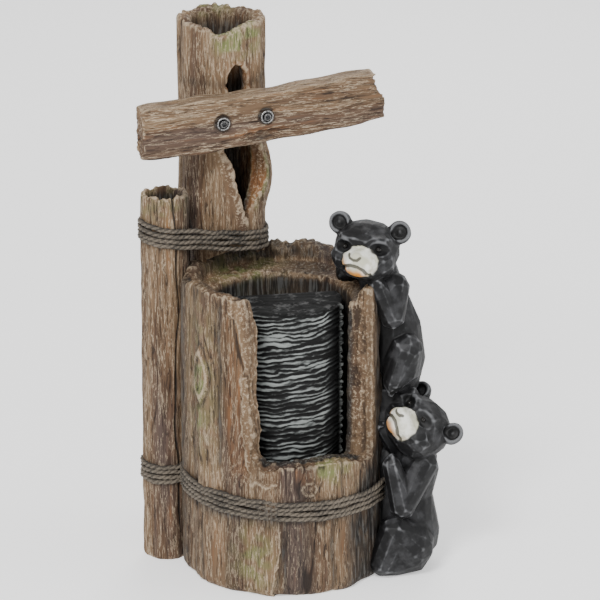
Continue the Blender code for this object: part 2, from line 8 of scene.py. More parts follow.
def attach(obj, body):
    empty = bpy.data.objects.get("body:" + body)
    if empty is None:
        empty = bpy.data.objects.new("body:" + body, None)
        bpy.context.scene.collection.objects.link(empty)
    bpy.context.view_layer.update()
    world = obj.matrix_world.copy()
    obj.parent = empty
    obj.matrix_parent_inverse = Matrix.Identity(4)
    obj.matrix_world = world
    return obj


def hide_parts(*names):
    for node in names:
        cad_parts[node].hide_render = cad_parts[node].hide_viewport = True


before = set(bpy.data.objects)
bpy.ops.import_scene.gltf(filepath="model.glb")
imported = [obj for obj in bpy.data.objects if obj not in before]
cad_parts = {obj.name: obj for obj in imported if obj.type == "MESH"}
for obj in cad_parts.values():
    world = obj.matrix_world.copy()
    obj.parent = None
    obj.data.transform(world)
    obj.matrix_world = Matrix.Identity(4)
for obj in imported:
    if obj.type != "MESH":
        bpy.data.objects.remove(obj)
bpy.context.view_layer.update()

print("frame loaded")

# the whole fountain: sizes shared by more than one piece, in metres and degrees
fountain = {
    "stumpRadius": 0.130,
    "stumpRim": 0.390,
    "postRadius": 0.055,
    "postAngle": 110.0,
    "postSink": 0.0053,
    "smallRadius": 0.029,
    "smallAngle": 151.3,
    "smallSink": 0.005,
    "upperBearAngle": -22.0,
    "lowerBearAngle": -27.0,
    "skinInset": 0.0004,
}


def around(angle, distance):
    return Vector((distance * math.cos(angle), distance * math.sin(angle)))


postCentre = around(math.radians(fountain["postAngle"]), fountain["stumpRadius"] - fountain["postSink"])
smallReach = fountain["stumpRadius"] + fountain["smallRadius"] - fountain["smallSink"]
smallCentre = around(math.radians(fountain["smallAngle"]), smallReach)


# relief in numpy: smooth lattice noise and what is carved with it
def latticeNoise(points, seed):
    cell = np.floor(points).astype(np.int64)
    part = points - cell
    part = part * part * (3 - 2 * part)
    total = np.zeros(len(points))
    for corner in range(8):
        step = np.array([corner & 1, corner >> 1 & 1, corner >> 2 & 1])
        spot = (cell + step + 4096) & 0xFFFF
        mixed = (spot[:, 0] * 73856093) ^ (spot[:, 1] * 19349663) ^ (spot[:, 2] * 83492791) ^ (seed * 2654435)
        mixed = (mixed ^ (mixed >> 13)) * 1274126177 & 0xFFFFFFFF
        mixed = (mixed ^ (mixed >> 16)) * 668265263 & 0xFFFFFFFF
        value = ((mixed >> 8) & 0xFFFF) / 32767.5 - 1
        weight = np.prod(np.where(step == 1, part, 1 - part), axis=1)
        total += weight * value
    return total


def smoothStep(low, high, value):
    share = np.clip((value - low) / (high - low), 0, 1)
    return share * share * (3 - 2 * share)


def bump(distance, halfWidth):
    share = np.minimum(1.0, np.abs(distance) / halfWidth)
    return (1 - share * share) ** 2


def turnBetween(a, b):
    return (a - b + np.pi) % (2 * np.pi) - np.pi


def turnBump(angle, degrees, halfWidth):
    return bump(turnBetween(angle, math.radians(degrees)), halfWidth)


def patches(angle, z, places):
    # soft patches on a round wall: turn in degrees, its half width, height, its half height and strength
    return np.maximum.reduce([
        strength * turnBump(angle, degrees, halfTurn) * bump(z - level, halfLevel)
        for degrees, halfTurn, level, halfLevel, strength in places
    ])


# grain of weathered wood along one axis: height in metres and a 0 to 1 relief for the paint
grain = {
    "wander": 0.006,
    "staveWidth": 0.019,
    "ridgeWidth": 0.0062,
    "fibreWidth": 0.0035,
    "crackWidth": 0.012,
    "staveDepth": 0.0010,
    "ridgeDepth": 0.0009,
    "fibreDepth": 0.0006,
    "crackDepth": 0.0024,
    "ringDepth": 0.0007,
    "ringPitch": 15.0,
}


def woodRelief(points, lengthwise, seed, knots=()):
    spots = points.copy()
    rings = np.zeros(len(points))
    inKnot = np.zeros(len(points))
    for centre, halfWidth, halfHeight in knots:
        away = points - np.array(centre)
        scaled = away / halfWidth
        scaled[:, lengthwise] = away[:, lengthwise] / halfHeight
        far = np.sqrt((scaled**2).sum(axis=1))
        spots -= away * (0.8 * np.exp(-(far / 1.5) ** 2))[:, None]
        core = smoothStep(1.15, 0.85, far)
        rings += core * np.cos(far * grain["ringPitch"])
        inKnot = np.maximum(inKnot, core)
    along = np.ones(3)
    along[lengthwise] = 0.10

    def layer(width, seedStep):
        return latticeNoise(spots * along / width, seed + seedStep)

    drift = np.stack([layer(0.05, 1), layer(0.05, 2), layer(0.05, 3)], axis=1) * grain["wander"]
    drift[:, lengthwise] = 0
    spots = spots + drift
    staves = layer(grain["staveWidth"], 4)
    ridges = 1 - 2 * np.abs(layer(grain["ridgeWidth"], 5))
    fibres = 1 - 2 * np.abs(layer(grain["fibreWidth"], 6))
    cracks = np.exp(-(layer(grain["crackWidth"], 7) / 0.075) ** 2) * smoothStep(-0.3, 0.5, layer(0.03, 8))
    height = grain["staveDepth"] * staves + grain["ridgeDepth"] * ridges + grain["fibreDepth"] * fibres
    height -= grain["crackDepth"] * cracks
    height = height * (1 - 0.7 * inKnot) + grain["ringDepth"] * rings
    relief = 0.50 + 0.16 * ridges + 0.22 * fibres + 0.10 * staves - 0.65 * cracks + 0.25 * rings
    return height, np.clip(relief, 0, 1)


# mesh tools
def newPiece(name, mesh):
    piece = bpy.data.objects.new(name, mesh)
    bpy.context.scene.collection.objects.link(piece)
    return piece


def dropPiece(piece):
    mesh = piece.data
    bpy.data.objects.remove(piece)
    if mesh.users == 0:
        bpy.data.meshes.remove(mesh)


def polar(centre, angle, radius, z):
    return Vector((centre[0] + radius * math.cos(angle), centre[1] + radius * math.sin(angle), z))


def turns(count):
    return [2 * math.pi * i / count for i in range(count)]


def loft(name, rings):
    build = bmesh.new()
    rows = [[build.verts.new(point) for point in ring] for ring in rings]
    count = len(rows[0])
    for low, high in zip(rows, rows[1:]):
        for i in range(count):
            j = (i + 1) % count
            build.faces.new((low[i], low[j], high[j], high[i]))
    build.faces.new(reversed(rows[0]))
    build.faces.new(rows[-1])
    bmesh.ops.recalc_face_normals(build, faces=build.faces)
    mesh = bpy.data.meshes.new(name)
    build.to_mesh(mesh)
    build.free()
    return newPiece(name, mesh)


def lathe(name, centre, count, profile):
    # a turned form: profile gives (radius, height) pairs for each angle
    spokes = [[polar(centre, angle, radius, z) for radius, z in profile(angle)] for angle in turns(count)]
    return loft(name, list(zip(*spokes)))


def wedge(name, centre, outline, inner, outer):
    # a cutting tool through a round wall, from an outline of (turn, height)
    return loft(name, [[polar(centre, turn, radius, z) for turn, z in outline] for radius in (inner, outer)])


def tornOutline(points, radius, pace, grid, seeds, jump, ceiling=9.0):
    # adds torn steps to an outline of (turn, height) on a round wall, up to the ceiling
    torn = []
    for (a, za), (b, zb) in zip(points, points[1:] + points[:1]):
        steps = max(1, int(math.hypot((b - a) * radius, zb - za) / pace))
        for i in range(steps):
            share = i / steps
            turn, z = a + (b - a) * share, za + (zb - za) * share
            jolt = latticeNoise(np.array([[turn * grid[0], z * grid[1], seeds[0]]]), seeds[1])[0]
            torn.append((turn + jolt * jump[0] / radius, z + jolt * jump[1] if z < ceiling else z))
    return torn


def evaluated(piece):
    return bpy.data.meshes.new_from_object(piece.evaluated_get(bpy.context.evaluated_depsgraph_get()))


def cutAway(body, tools):
    for tool in tools:
        cut = body.modifiers.new("cut", "BOOLEAN")
        cut.operation = "DIFFERENCE"
        cut.solver = "EXACT"
        cut.object = tool
    mesh = evaluated(body)
    body.modifiers.clear()
    body.data = mesh
    for tool in tools:
        dropPiece(tool)
    return body


def meshArrays(mesh):
    count = len(mesh.vertices)
    spots, normals = np.zeros(count * 3), np.zeros(count * 3)
    mesh.vertices.foreach_get("co", spots)
    mesh.vertices.foreach_get("normal", normals)
    return spots.reshape(-1, 3), normals.reshape(-1, 3)


def placePoints(mesh, spots):
    mesh.vertices.foreach_set("co", spots.ravel())
    mesh.update()


def roundView(mesh, centre):
    # the points and normals, and each point's height, turn and distance from an upright axis
    spots, normals = meshArrays(mesh)
    x, y, z = (spots - np.array([centre[0], centre[1], 0])).T
    return spots, normals, z, np.arctan2(y, x), np.hypot(x, y)


def reskin(body, voxel, lengthwise=2, stretch=1.0):
    # one even skin of small faces, longer along the grain
    spots, _ = meshArrays(body.data)
    spots[:, lengthwise] /= stretch
    placePoints(body.data, spots)
    skin = body.modifiers.new("skin", "REMESH")
    skin.mode = "VOXEL"
    skin.voxel_size = voxel
    body.data = evaluated(body)
    body.modifiers.clear()
    spots, _ = meshArrays(body.data)
    spots[:, lengthwise] *= stretch
    placePoints(body.data, spots)
    return body


def edgeArray(mesh):
    pairs = np.zeros(len(mesh.edges) * 2, np.int64)
    mesh.edges.foreach_get("vertices", pairs)
    return pairs.reshape(-1, 2)


def spread(values, edges, rounds):
    # evens values out over neighbouring points
    shape = values if values.ndim == 2 else values[:, None]
    count = np.bincount(edges.ravel(), minlength=len(shape))[:, None].clip(1)
    for _ in range(rounds):
        total = np.zeros_like(shape)
        for column in range(shape.shape[1]):
            total[:, column] += np.bincount(edges[:, 0], shape[edges[:, 1], column], len(shape))
            total[:, column] += np.bincount(edges[:, 1], shape[edges[:, 0], column], len(shape))
        shape = 0.5 * shape + 0.5 * total / count
    return shape if values.ndim == 2 else shape[:, 0]


def edgeWear(mesh, reach):
    # how far each point stands out of its smoothed neighbourhood: bright on ridges, negative in creases
    spots, normals = meshArrays(mesh)
    even = spread(spots, edgeArray(mesh), reach)
    return ((spots - even) * normals).sum(axis=1)


def moveAlongNormals(mesh, height):
    # nothing goes below the ground
    spots, normals = meshArrays(mesh)
    spots = spots + normals * height[:, None]
    spots[:, 2] = np.maximum(spots[:, 2], 0.0)
    placePoints(mesh, spots)


def keepMasks(mesh, **masks):
    for name, values in masks.items():
        mask = mesh.attributes.new(name, "FLOAT", "POINT")
        mask.data.foreach_set("value", np.clip(values, 0, 1).astype(np.float32))


def mergeFlat(mesh, level, radius=9.0):
    # one face where a hidden floor or underside is flat
    build = bmesh.new()
    build.from_mesh(mesh)
    flat = []
    for face in build.faces:
        low = all(abs(v.co.z - level) < 0.0004 for v in face.verts)
        if low and all(math.hypot(v.co.x, v.co.y) < radius for v in face.verts):
            flat.append(face)
    if flat:
        bmesh.ops.dissolve_faces(build, faces=flat, use_verts=True)
        bmesh.ops.triangulate(build, faces=[face for face in build.faces if len(face.verts) > 4])
    build.to_mesh(mesh)
    build.free()


def finishPiece(piece, paint, slotName, *nodes, smooth=True):
    piece.data.materials.clear()
    piece.data.materials.append(paint)
    piece.data.polygons.foreach_set("use_smooth", [smooth] * len(piece.data.polygons))
    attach(piece, "root")
    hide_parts(*nodes)


# node trees: shader and geometry maths as expressions
class Wire:
    def __init__(self, owner, socket):
        self.owner = owner
        self.socket = socket

    def __add__(self, other):
        return self.owner.maths("ADD", self, other)

    def __radd__(self, other):
        return self.owner.maths("ADD", other, self)

    def __sub__(self, other):
        return self.owner.maths("SUBTRACT", self, other)

    def __rsub__(self, other):
        return self.owner.maths("SUBTRACT", other, self)

    def __mul__(self, other):
        return self.owner.maths("MULTIPLY", self, other)

    def __truediv__(self, other):
        return self.owner.maths("DIVIDE", self, other)

    def absolute(self):
        return self.owner.maths("ABSOLUTE", self)

    def between(self, low, high):
        # 0 at low, 1 at high, smooth in between
        sockets = {"Value": self, "From Min": low, "From Max": high}
        return self.owner.node("ShaderNodeMapRange", {"interpolation_type": "SMOOTHSTEP"}, sockets)


class Nodes:
    def __init__(self, tree):
        self.tree = tree

    def connect(self, socket, value):
        if isinstance(value, Wire):
            self.tree.links.new(value.socket, socket)
        elif isinstance(value, tuple) and len(value) == 3 and socket.type == "RGBA":
            socket.default_value = (*value, 1.0)
        else:
            socket.default_value = value

    def node(self, kind, settings, sockets, output=0):
        made = self.tree.nodes.new(kind)
        for key, value in settings.items():
            if key == "stops":
                while len(made.color_ramp.elements) < len(value):
                    made.color_ramp.elements.new(0.5)
                for element, (position, colour) in zip(made.color_ramp.elements, value):
                    element.position = position
                    element.color = (*colour, 1.0)
            else:
                setattr(made, key, value)
        for key, value in sockets.items():
            self.connect(made.inputs[key], value)
        return Wire(self, made.outputs[output])

    def maths(self, operation, *values):
        return self.node("ShaderNodeMath", {"operation": operation}, dict(enumerate(values)))

    def vector(self, operation, *values):
        return self.node("ShaderNodeVectorMath", {"operation": operation}, dict(enumerate(values)))


class Form(Nodes):
    # a Geometry Nodes tree with named sizes
    def __init__(self, name, sizes):
        super().__init__(bpy.data.node_groups.new(name, "GeometryNodeTree"))
        face = self.tree.interface
        face.new_socket("Geometry", in_out="INPUT", socket_type="NodeSocketGeometry")
        face.new_socket("Geometry", in_out="OUTPUT", socket_type="NodeSocketGeometry")
        self.keys = {}
        for key, value in sizes.items():
            kind = "NodeSocketInt" if isinstance(value, int) else "NodeSocketFloat"
            made = face.new_socket(key, in_out="INPUT", socket_type=kind)
            made.default_value = value
            self.keys[key] = made.identifier
        self.start = self.tree.nodes.new("NodeGroupInput")
        self.end = self.tree.nodes.new("NodeGroupOutput")

    def geometry(self):
        return Wire(self, self.start.outputs["Geometry"])

    def size(self, key):
        return Wire(self, self.start.outputs[key])

    def ripple(self, place, scale, detail):
        return self.node("ShaderNodeTexNoise", {}, {"Vector": place, "Scale": scale, "Detail": detail}) - 0.5

    def scaled(self, vector, amount):
        return self.node("ShaderNodeVectorMath", {"operation": "SCALE"}, {0: vector, "Scale": amount})

    def keep(self, solid, name, value):
        sockets = {"Geometry": solid, "Name": name, "Value": value}
        return self.node("GeometryNodeStoreNamedAttribute", {"data_type": "FLOAT", "domain": "POINT"}, sockets)

    def close(self, solid, paint):
        solid = self.node("GeometryNodeRealizeInstances", {}, {"Geometry": solid})
        solid = self.node("GeometryNodeSetMaterial", {}, {"Geometry": solid, "Material": paint})
        self.connect(self.end.inputs[0], solid)

    def shape(self, piece, sizes):
        change = piece.modifiers.new(self.tree.name, "NODES")
        change.node_group = self.tree
        for key, value in sizes.items():
            change[self.keys[key]] = value
        mesh = evaluated(piece)
        piece.modifiers.clear()
        piece.data = mesh


class Paint(Nodes):
    def __init__(self, name):
        self.material = bpy.data.materials.new(name)
        self.material.use_nodes = True
        super().__init__(self.material.node_tree)
        self.shader = self.tree.nodes["Principled BSDF"]
        self.place = self.node("ShaderNodeTexCoord", {}, {}, "Object")

    def mask(self, name):
        return self.node("ShaderNodeAttribute", {"attribute_name": name}, {}, "Fac")

    def noise(self, size, detail=4.0, rough=0.55, stretch=(1, 1, 1)):
        scale = tuple(share / size for share in stretch)
        spot = self.node("ShaderNodeMapping", {}, {"Vector": self.place, "Scale": scale})
        sockets = {"Vector": spot, "Scale": 1.0, "Detail": detail, "Roughness": rough}
        return self.node("ShaderNodeTexNoise", {}, sockets)

    def mix(self, share, first, second):
        # colours sit in the Mix node's third pair of inputs
        return self.node("ShaderNodeMix", {"data_type": "RGBA"}, {0: share, 6: first, 7: second}, 2)

    def ramp(self, value, stops):
        return self.node("ShaderNodeValToRGB", {"stops": stops}, {"Fac": value})

    def finish(self, colour, roughness, height=None, strength=0.5, distance=0.001, **constants):
        self.connect(self.shader.inputs["Base Color"], colour)
        self.connect(self.shader.inputs["Roughness"], roughness)
        for key, value in constants.items():
            self.shader.inputs[key.replace("_", " ")].default_value = value
        if height is not None:
            sockets = {"Height": height, "Strength": strength, "Distance": distance}
            self.connect(self.shader.inputs["Normal"], self.node("ShaderNodeBump", {}, sockets))
        return self.material


woodColours = {
    "deep": (0.016, 0.010, 0.007),
    "brown": (0.095, 0.055, 0.031),
    "tan": (0.170, 0.108, 0.060),
    "plum": (0.075, 0.050, 0.040),
    "rust": (0.200, 0.085, 0.030),
    "pale": (0.430, 0.340, 0.235),
    "moss": (0.135, 0.145, 0.052),
    # near black for painted shade
    "soot": (0.009, 0.0085, 0.008),
    "ash": (0.150, 0.150, 0.143),
}


def woodPaint(name, stretch):
    # brown wood with thin dark cracks and pale dry-brushed ridges; broken faces are granular instead
    paint = Paint(name)
    relief, wear, broken = (paint.mask(key) for key in ("relief", "wear", "broken"))
    moss, soot, rust = (paint.mask(key) for key in ("moss", "soot", "rust"))
    patches = paint.noise(0.055, 3.0, 0.5, stretch)
    streaks = paint.noise(0.0062, 4.0, 0.55, stretch)
    fibres = paint.noise(0.0033, 4.0, 0.60, stretch)
    crumbs = paint.noise(0.0034, 5.0, 0.65)
    grit = paint.noise(0.0014, 2.0, 0.6)
    solid = 1 - broken
    texture = fibres * solid + crumbs * broken
    stops = zip((0.34, 0.46, 0.56, 0.68), ("plum", "brown", "tan", "brown"))
    colour = paint.ramp(patches, [(position, woodColours[name]) for position, name in stops])
    rusty = (rust + streaks.between(0.58, 0.72) * 0.35).between(0.0, 1.0)
    colour = paint.mix(rusty, colour, woodColours["rust"])
    colour = paint.mix(moss * patches.between(0.25, 0.50), colour, woodColours["moss"])
    cracks = (1 - (streaks - 0.47).absolute().between(0.006, 0.040)) * solid
    low = 1 - (relief * 0.75 + texture * 0.50).between(0.28, 0.70)
    colour = paint.mix((cracks * 0.65 + low * 0.75).between(0.0, 1.0) * 0.88, colour, woodColours["deep"])
    ridges = (1 - (fibres - 0.53).absolute().between(0.004, 0.045)) * solid
    ridges = ridges + crumbs.between(0.50, 0.62) * broken
    brushed = (relief * 0.50 + ridges * 0.42 + texture * 0.50 + (patches - 0.5) * 0.5).between(0.70, 1.06)
    colour = paint.mix(brushed * 0.66, colour, woodColours["pale"])
    # pale worn edges and ridges, with painted highlight on the board's upward faces
    colour = paint.mix((wear * (0.30 + grit)).between(0.34, 0.95) * 0.75, colour, woodColours["pale"])
    # painted shade darkens the wood towards near black; a grey dry-brush goes over its darker parts
    colour = paint.mix(soot * 0.94, colour, woodColours["soot"])
    ashy = soot.between(0.40, 0.80) * texture.between(0.49, 0.62) * 0.40
    colour = paint.mix(ashy, colour, woodColours["ash"])
    bumps = texture + grit * 0.4
    return paint.finish(colour, 0.80 - wear * 0.1, bumps, 0.65, 0.0016, Specular_IOR_Level=0.3)


uprightWood = woodPaint("uprightWood", (1, 1, 0.09))
crossWood = woodPaint("crossWood", (0.09, 1, 1))


def makeRopePaint():
    paint = Paint("ropeResin")
    crest = paint.mask("crest")
    streaks = paint.noise(0.0026, 4.0, 0.6)
    patches = paint.noise(0.030, 3.0, 0.5)
    colour = paint.ramp(patches, [(0.35, (0.022, 0.018, 0.014)), (0.62, (0.058, 0.046, 0.034))])
    # painted shade where each ply turns inward, and painted highlight on the ply crests mixed with brushed
    # streaks
    colour = paint.mix(1 - crest.between(0.0, 0.55), colour, (0.010, 0.008, 0.006))
    brushed = (crest * 0.6 + streaks * 0.9 + patches * 0.4).between(1.02, 1.34)
    colour = paint.mix(brushed * 0.44, colour, (0.24, 0.20, 0.15))
    return paint.finish(colour, 0.8, streaks, 0.7, 0.0012)


def makeWaterPaint():
    paint = Paint("blackSlate")
    relief, seam, crown = paint.mask("relief"), paint.mask("seam"), paint.mask("crown")
    brush = paint.noise(0.0050, 5.0, 0.65, (0.35, 0.35, 1.6))
    patches = paint.noise(0.050, 3.0, 0.5)
    shade = paint.mask("shade")
    black = (0.003, 0.003, 0.003)
    colour = paint.mix((relief + brush * 0.5).between(0.65, 1.25), black, (0.074, 0.079, 0.078))
    brushed = ((relief * 1.1 + brush * 0.9) + patches * 0.6 - shade * 0.8).between(1.28, 1.68)
    colour = paint.mix(brushed * 0.80 * (1 - crown), colour, (0.27, 0.29, 0.28))
    colour = paint.mix(shade.between(0.25, 1.0) * 0.8, colour, (0.004, 0.004, 0.004))
    colour = paint.mix(seam * brush.between(0.35, 0.60) * 0.9, colour, (0.20, 0.21, 0.20))
    onTop = paint.mix(brush.between(0.50, 0.64), black, (0.07, 0.07, 0.07))
    colour = paint.mix(crown * 0.9, colour, onTop)
    return paint.finish(colour, 0.55 + brush * 0.2 + crown * 0.2, brush, 0.6, 0.0016, Specular_IOR_Level=0.2)


def makeSteelPaint():
    paint = Paint("agedSteel")
    scuffs = paint.noise(0.0016, 4.0, 0.6)
    colour = paint.mix(scuffs.between(0.42, 0.62), (0.018, 0.018, 0.019), (0.090, 0.090, 0.093))
    colour = paint.mix(paint.mask("rim") * scuffs.between(0.36, 0.60), colour, (0.42, 0.41, 0.40))
    return paint.finish(colour, 0.30 + scuffs * 0.25, scuffs, 0.35, 0.0005, Metallic=1.0)


def makeBearPaint():
    paint = Paint("bearResin")
    wear, crease, ivory = paint.mask("wear"), paint.mask("crease"), paint.mask("ivory")
    lip, ear, eye = paint.mask("lip"), paint.mask("ear"), paint.mask("eye")
    cloud = paint.noise(0.018, 4.0, 0.55)
    grit = paint.noise(0.0016, 3.0, 0.6)
    colour = paint.mix(cloud.between(0.44, 0.66), (0.0055, 0.0055, 0.006), (0.029, 0.029, 0.031))
    # grey dry-brushed wear on the ridges, and painted highlight on the paws
    colour = paint.mix((wear * (0.6 + cloud)).between(0.18, 1.0) * 0.75, colour, (0.165, 0.168, 0.175))
    colour = paint.mix(ear * grit.between(0.52, 0.64) * 0.25, colour, (0.07, 0.07, 0.07))
    # painted shade in creases and recesses, with the dark mouth and nose lines
    colour = paint.mix(crease * 0.9, colour, (0.002, 0.002, 0.002))
    pale = paint.mix(cloud.between(0.40, 0.62), (0.50, 0.49, 0.38), (0.80, 0.79, 0.72))
    pale = paint.mix(lip, pale, (0.48, 0.20, 0.035))
    # dark mouth and nose lines and painted shade on the pale muzzle
    pale = paint.mix(crease.between(0.20, 0.8) * 0.9, pale, (0.055, 0.050, 0.036))
    colour = paint.mix(ivory, colour, pale)
    colour = paint.mix(eye, colour, (0.012, 0.011, 0.010))
    return paint.finish(colour, 0.50 - eye * 0.32 + grit * 0.08, grit, 0.18, 0.0006, Specular_IOR_Level=0.25)


# stump
stump = {
    "voxel": 0.0019,
    "stretch": 2.1,
    "spokes": 300,
    "barkDepth": 0.0030,
    "barkRidges": 9,
    "barkSeed": 0.5,
    "barkLayer": 0.0050,
    "plateRise": 0.0028,
    "crumbDepth": 0.0009,
    "gnarlDepth": 0.0022,
    "dripDepth": 0.0016,
    "knotRing": 0.0022,
    "knotMoat": 0.0016,
    "rimWall": 0.019,
    "rimRise": 0.003,
    "footRounding": 0.005,
    "rightTaper": 0.007,
    "splinters": 0.0045,
    "basinRadius": 0.092,
    "basinCentre": (-0.008, -0.012),
    "basinFloor": 0.062,
    "ledgeHeight": 0.366,
    "sillHeight": 0.174,
    "openingTopLeft": -132.5,
    "openingBottomLeft": -127.5,
    "openingRight": -48.0,
    "tallKnot": (-165.5, 0.280, 0.0165, 0.032),
    "roundKnot": (-96.0, 0.1450, 0.0100, 0.0100),
    # grooves, darkened with painted shade: turn in degrees, low end, high end, half width in radians, depth
    "grooves": (
        (-149.0, 0.165, 0.390, 0.055, 0.0022), (-110.0, 0.0, 0.106, 0.045, 0.0005),
        (-81.5, 0.0, 0.112, 0.050, 0.0022), (-76.0, 0.120, 0.195, 0.026, 0.0014),
        (-163.0, 0.0, 0.100, 0.045, 0.0014), (-172.0, 0.14, 0.37, 0.030, 0.0012),
    ),
    # edges of the front opening: share of the lean and height, turn and rise, turn and height
    "leftEdge": (
        (-0.2, 0.391), (0.4, 0.36), (0.6, 0.33), (0.2, 0.27), (0.9, 0.215), (0.5, 0.190), (1.8, 0.172),
    ),
    "sillEdge": ((-107, 0.002), (-92, 0.000), (-78, 0.003), (-66, -0.004), (-57, -0.012)),
    "rightEdge": ((-2.5, 0.166), (0.0, 0.185), (0.6, 0.25), (-0.6, 0.32), (0.4, 0.37)),
    # left and right edge of the bare strip, and the bark plate's edge: turn in degrees at each height
    "bareLeft": (
        (-139.0, 0.120), (-141.9, 0.166), (-144.4, 0.205), (-145.0, 0.260), (-144.7, 0.352), (-145.3, 0.381),
    ),
    "bareRight": (
        (-130.4, 0.161), (-133.1, 0.176), (-133.6, 0.199), (-135.4, 0.223), (-134.4, 0.252), (-135.9, 0.292),
        (-133.4, 0.302), (-134.8, 0.319), (-137.0, 0.355), (-138.8, 0.368), (-146.7, 0.377), (-150.2, 0.381),
    ),
    "plateEdge": (
        (-116.0, 0.016), (-114.3, 0.036), (-112.0, 0.056), (-112.6, 0.072), (-112.0, 0.091), (-113.7, 0.110),
    ),
    # moss and rust: turn in degrees, its half width, height, its half height, strength
    "moss": (
        (-85.5, 0.15, 0.170, 0.018, 2.4), (-76.0, 0.30, 0.160, 0.03, 0.8), (-128.0, 0.35, 0.05, 0.07, 0.8),
        (105.0, 0.8, 0.36, 0.05, 1.0),
    ),
    "rust": (
        (-172.0, 0.10, 0.25, 0.20, 0.9), (-97.0, 0.20, 0.165, 0.025, 1.0), (-150.0, 0.10, 0.06, 0.06, 0.8),
        (-74.0, 0.10, 0.06, 0.06, 0.8),
    ),
}


def ragged(angle, seed):
    return (
        0.45 * math.sin(5 * angle + 1.3 * seed)
        + 0.30 * math.sin(11 * angle + 2.1 * seed)
        + 0.25 * math.sin(19 * angle + 0.7 * seed)
    )


def splinter(angle, seed, size):
    # sharp broken fibres along a torn edge, always downwards
    spots = np.array([[math.cos(angle) * 26, math.sin(angle) * 26, seed]])
    fine = latticeNoise(spots * 2.3, 31)[0]
    return -size * (0.5 + 0.5 * latticeNoise(spots, 30)[0]) - 0.4 * size * abs(fine)


def barkWave(angle, z, ridges, seed):
    wander = 0.35 * np.sin(9 * z + seed) + 0.2 * np.sin(21 * z + 2 * seed)
    return 0.6 * np.sin(ridges * angle + wander + seed) + 0.4 * np.sin(1.7 * ridges * angle - wander)


def stumpRim(angle):
    front = turnBump(angle, -155, math.radians(50))
    torn = 0.005 * ragged(angle, 2.0) + splinter(angle, 3.0, stump["splinters"])
    return fountain["stumpRim"] + stump["rimRise"] * front + (1 - 0.75 * front) * torn + 0.002


def stumpWave(angle, z):
    return stump["barkDepth"] * barkWave(angle, z, stump["barkRidges"], stump["barkSeed"])


def stumpReach(angle, z):
    slim = stump["rightTaper"] * turnBump(angle, -20, math.radians(70)) * min(1.0, z / 0.2)
    return fountain["stumpRadius"] - slim + stumpWave(angle, z) - fountain["skinInset"]


def basinReach(angle):
    way, centre = around(angle, 1.0), Vector(stump["basinCentre"])
    along = centre.dot(way)
    return along + math.sqrt(stump["basinRadius"] ** 2 - centre.length_squared + along * along)


def bowlReach(angle):
    full = fountain["stumpRadius"] - stump["rimWall"]
    front = turnBump(angle, -120, math.radians(110))
    return full + (basinReach(angle) + 0.002 - full) * min(1.0, 1.6 * front)


def stumpProfile(angle):
    # up the bark, over the rim, down the bowl, across the ledge and down to the basin's floor
    rim, bowl, basin = stumpRim(angle), bowlReach(angle), basinReach(angle)
    top, ledge = stumpReach(angle, fountain["stumpRim"]), stump["ledgeHeight"]
    return [
        (stumpReach(angle, 0) - stump["footRounding"], 0.0), (stumpReach(angle, 0.004) - 0.0015, 0.004),
        *((stumpReach(angle, z), z) for z in (0.012, 0.05, 0.10, 0.15, 0.20, 0.25, 0.30, 0.345)),
        (top - 0.001, rim - 0.002), (top - 0.006, rim), (bowl + 0.006, rim - 0.002),
        (bowl + 0.001, rim - 0.008), (bowl, ledge + 0.003), (0.7 * bowl + 0.3 * basin, ledge),
        (basin + 0.001, ledge - 0.001), (basin - 0.003, ledge - 0.006), (basin - 0.004, stump["basinFloor"]),
    ]


def makeStump():
    body = lathe("stumpBark", (0, 0), stump["spokes"], stumpProfile)
    top = fountain["stumpRim"] + 0.05
    topLeft, bottomLeft = math.radians(stump["openingTopLeft"]), math.radians(stump["openingBottomLeft"])
    right, lean = math.radians(stump["openingRight"]), bottomLeft - topLeft
    outline = [(topLeft + lean * share, z) for share, z in ((-0.3, top), *stump["leftEdge"])]
    outline += [(math.radians(turn), stump["sillHeight"] + up) for turn, up in stump["sillEdge"]]
    outline += [(right + math.radians(turn), z) for turn, z in (*stump["rightEdge"], (0.0, top))]
    torn = tornOutline(outline, fountain["stumpRadius"], 0.003, (34, 260), (5.0, 9), (0.00208, 0.0016), 0.4)
    cutAway(body, [wedge("window", (0, 0), torn, 0.045, 0.26)])
    reskin(body, stump["voxel"], 2, stump["stretch"])
    mergeFlat(body.data, 0.0)
    mergeFlat(body.data, stump["basinFloor"], 0.09)
    return body


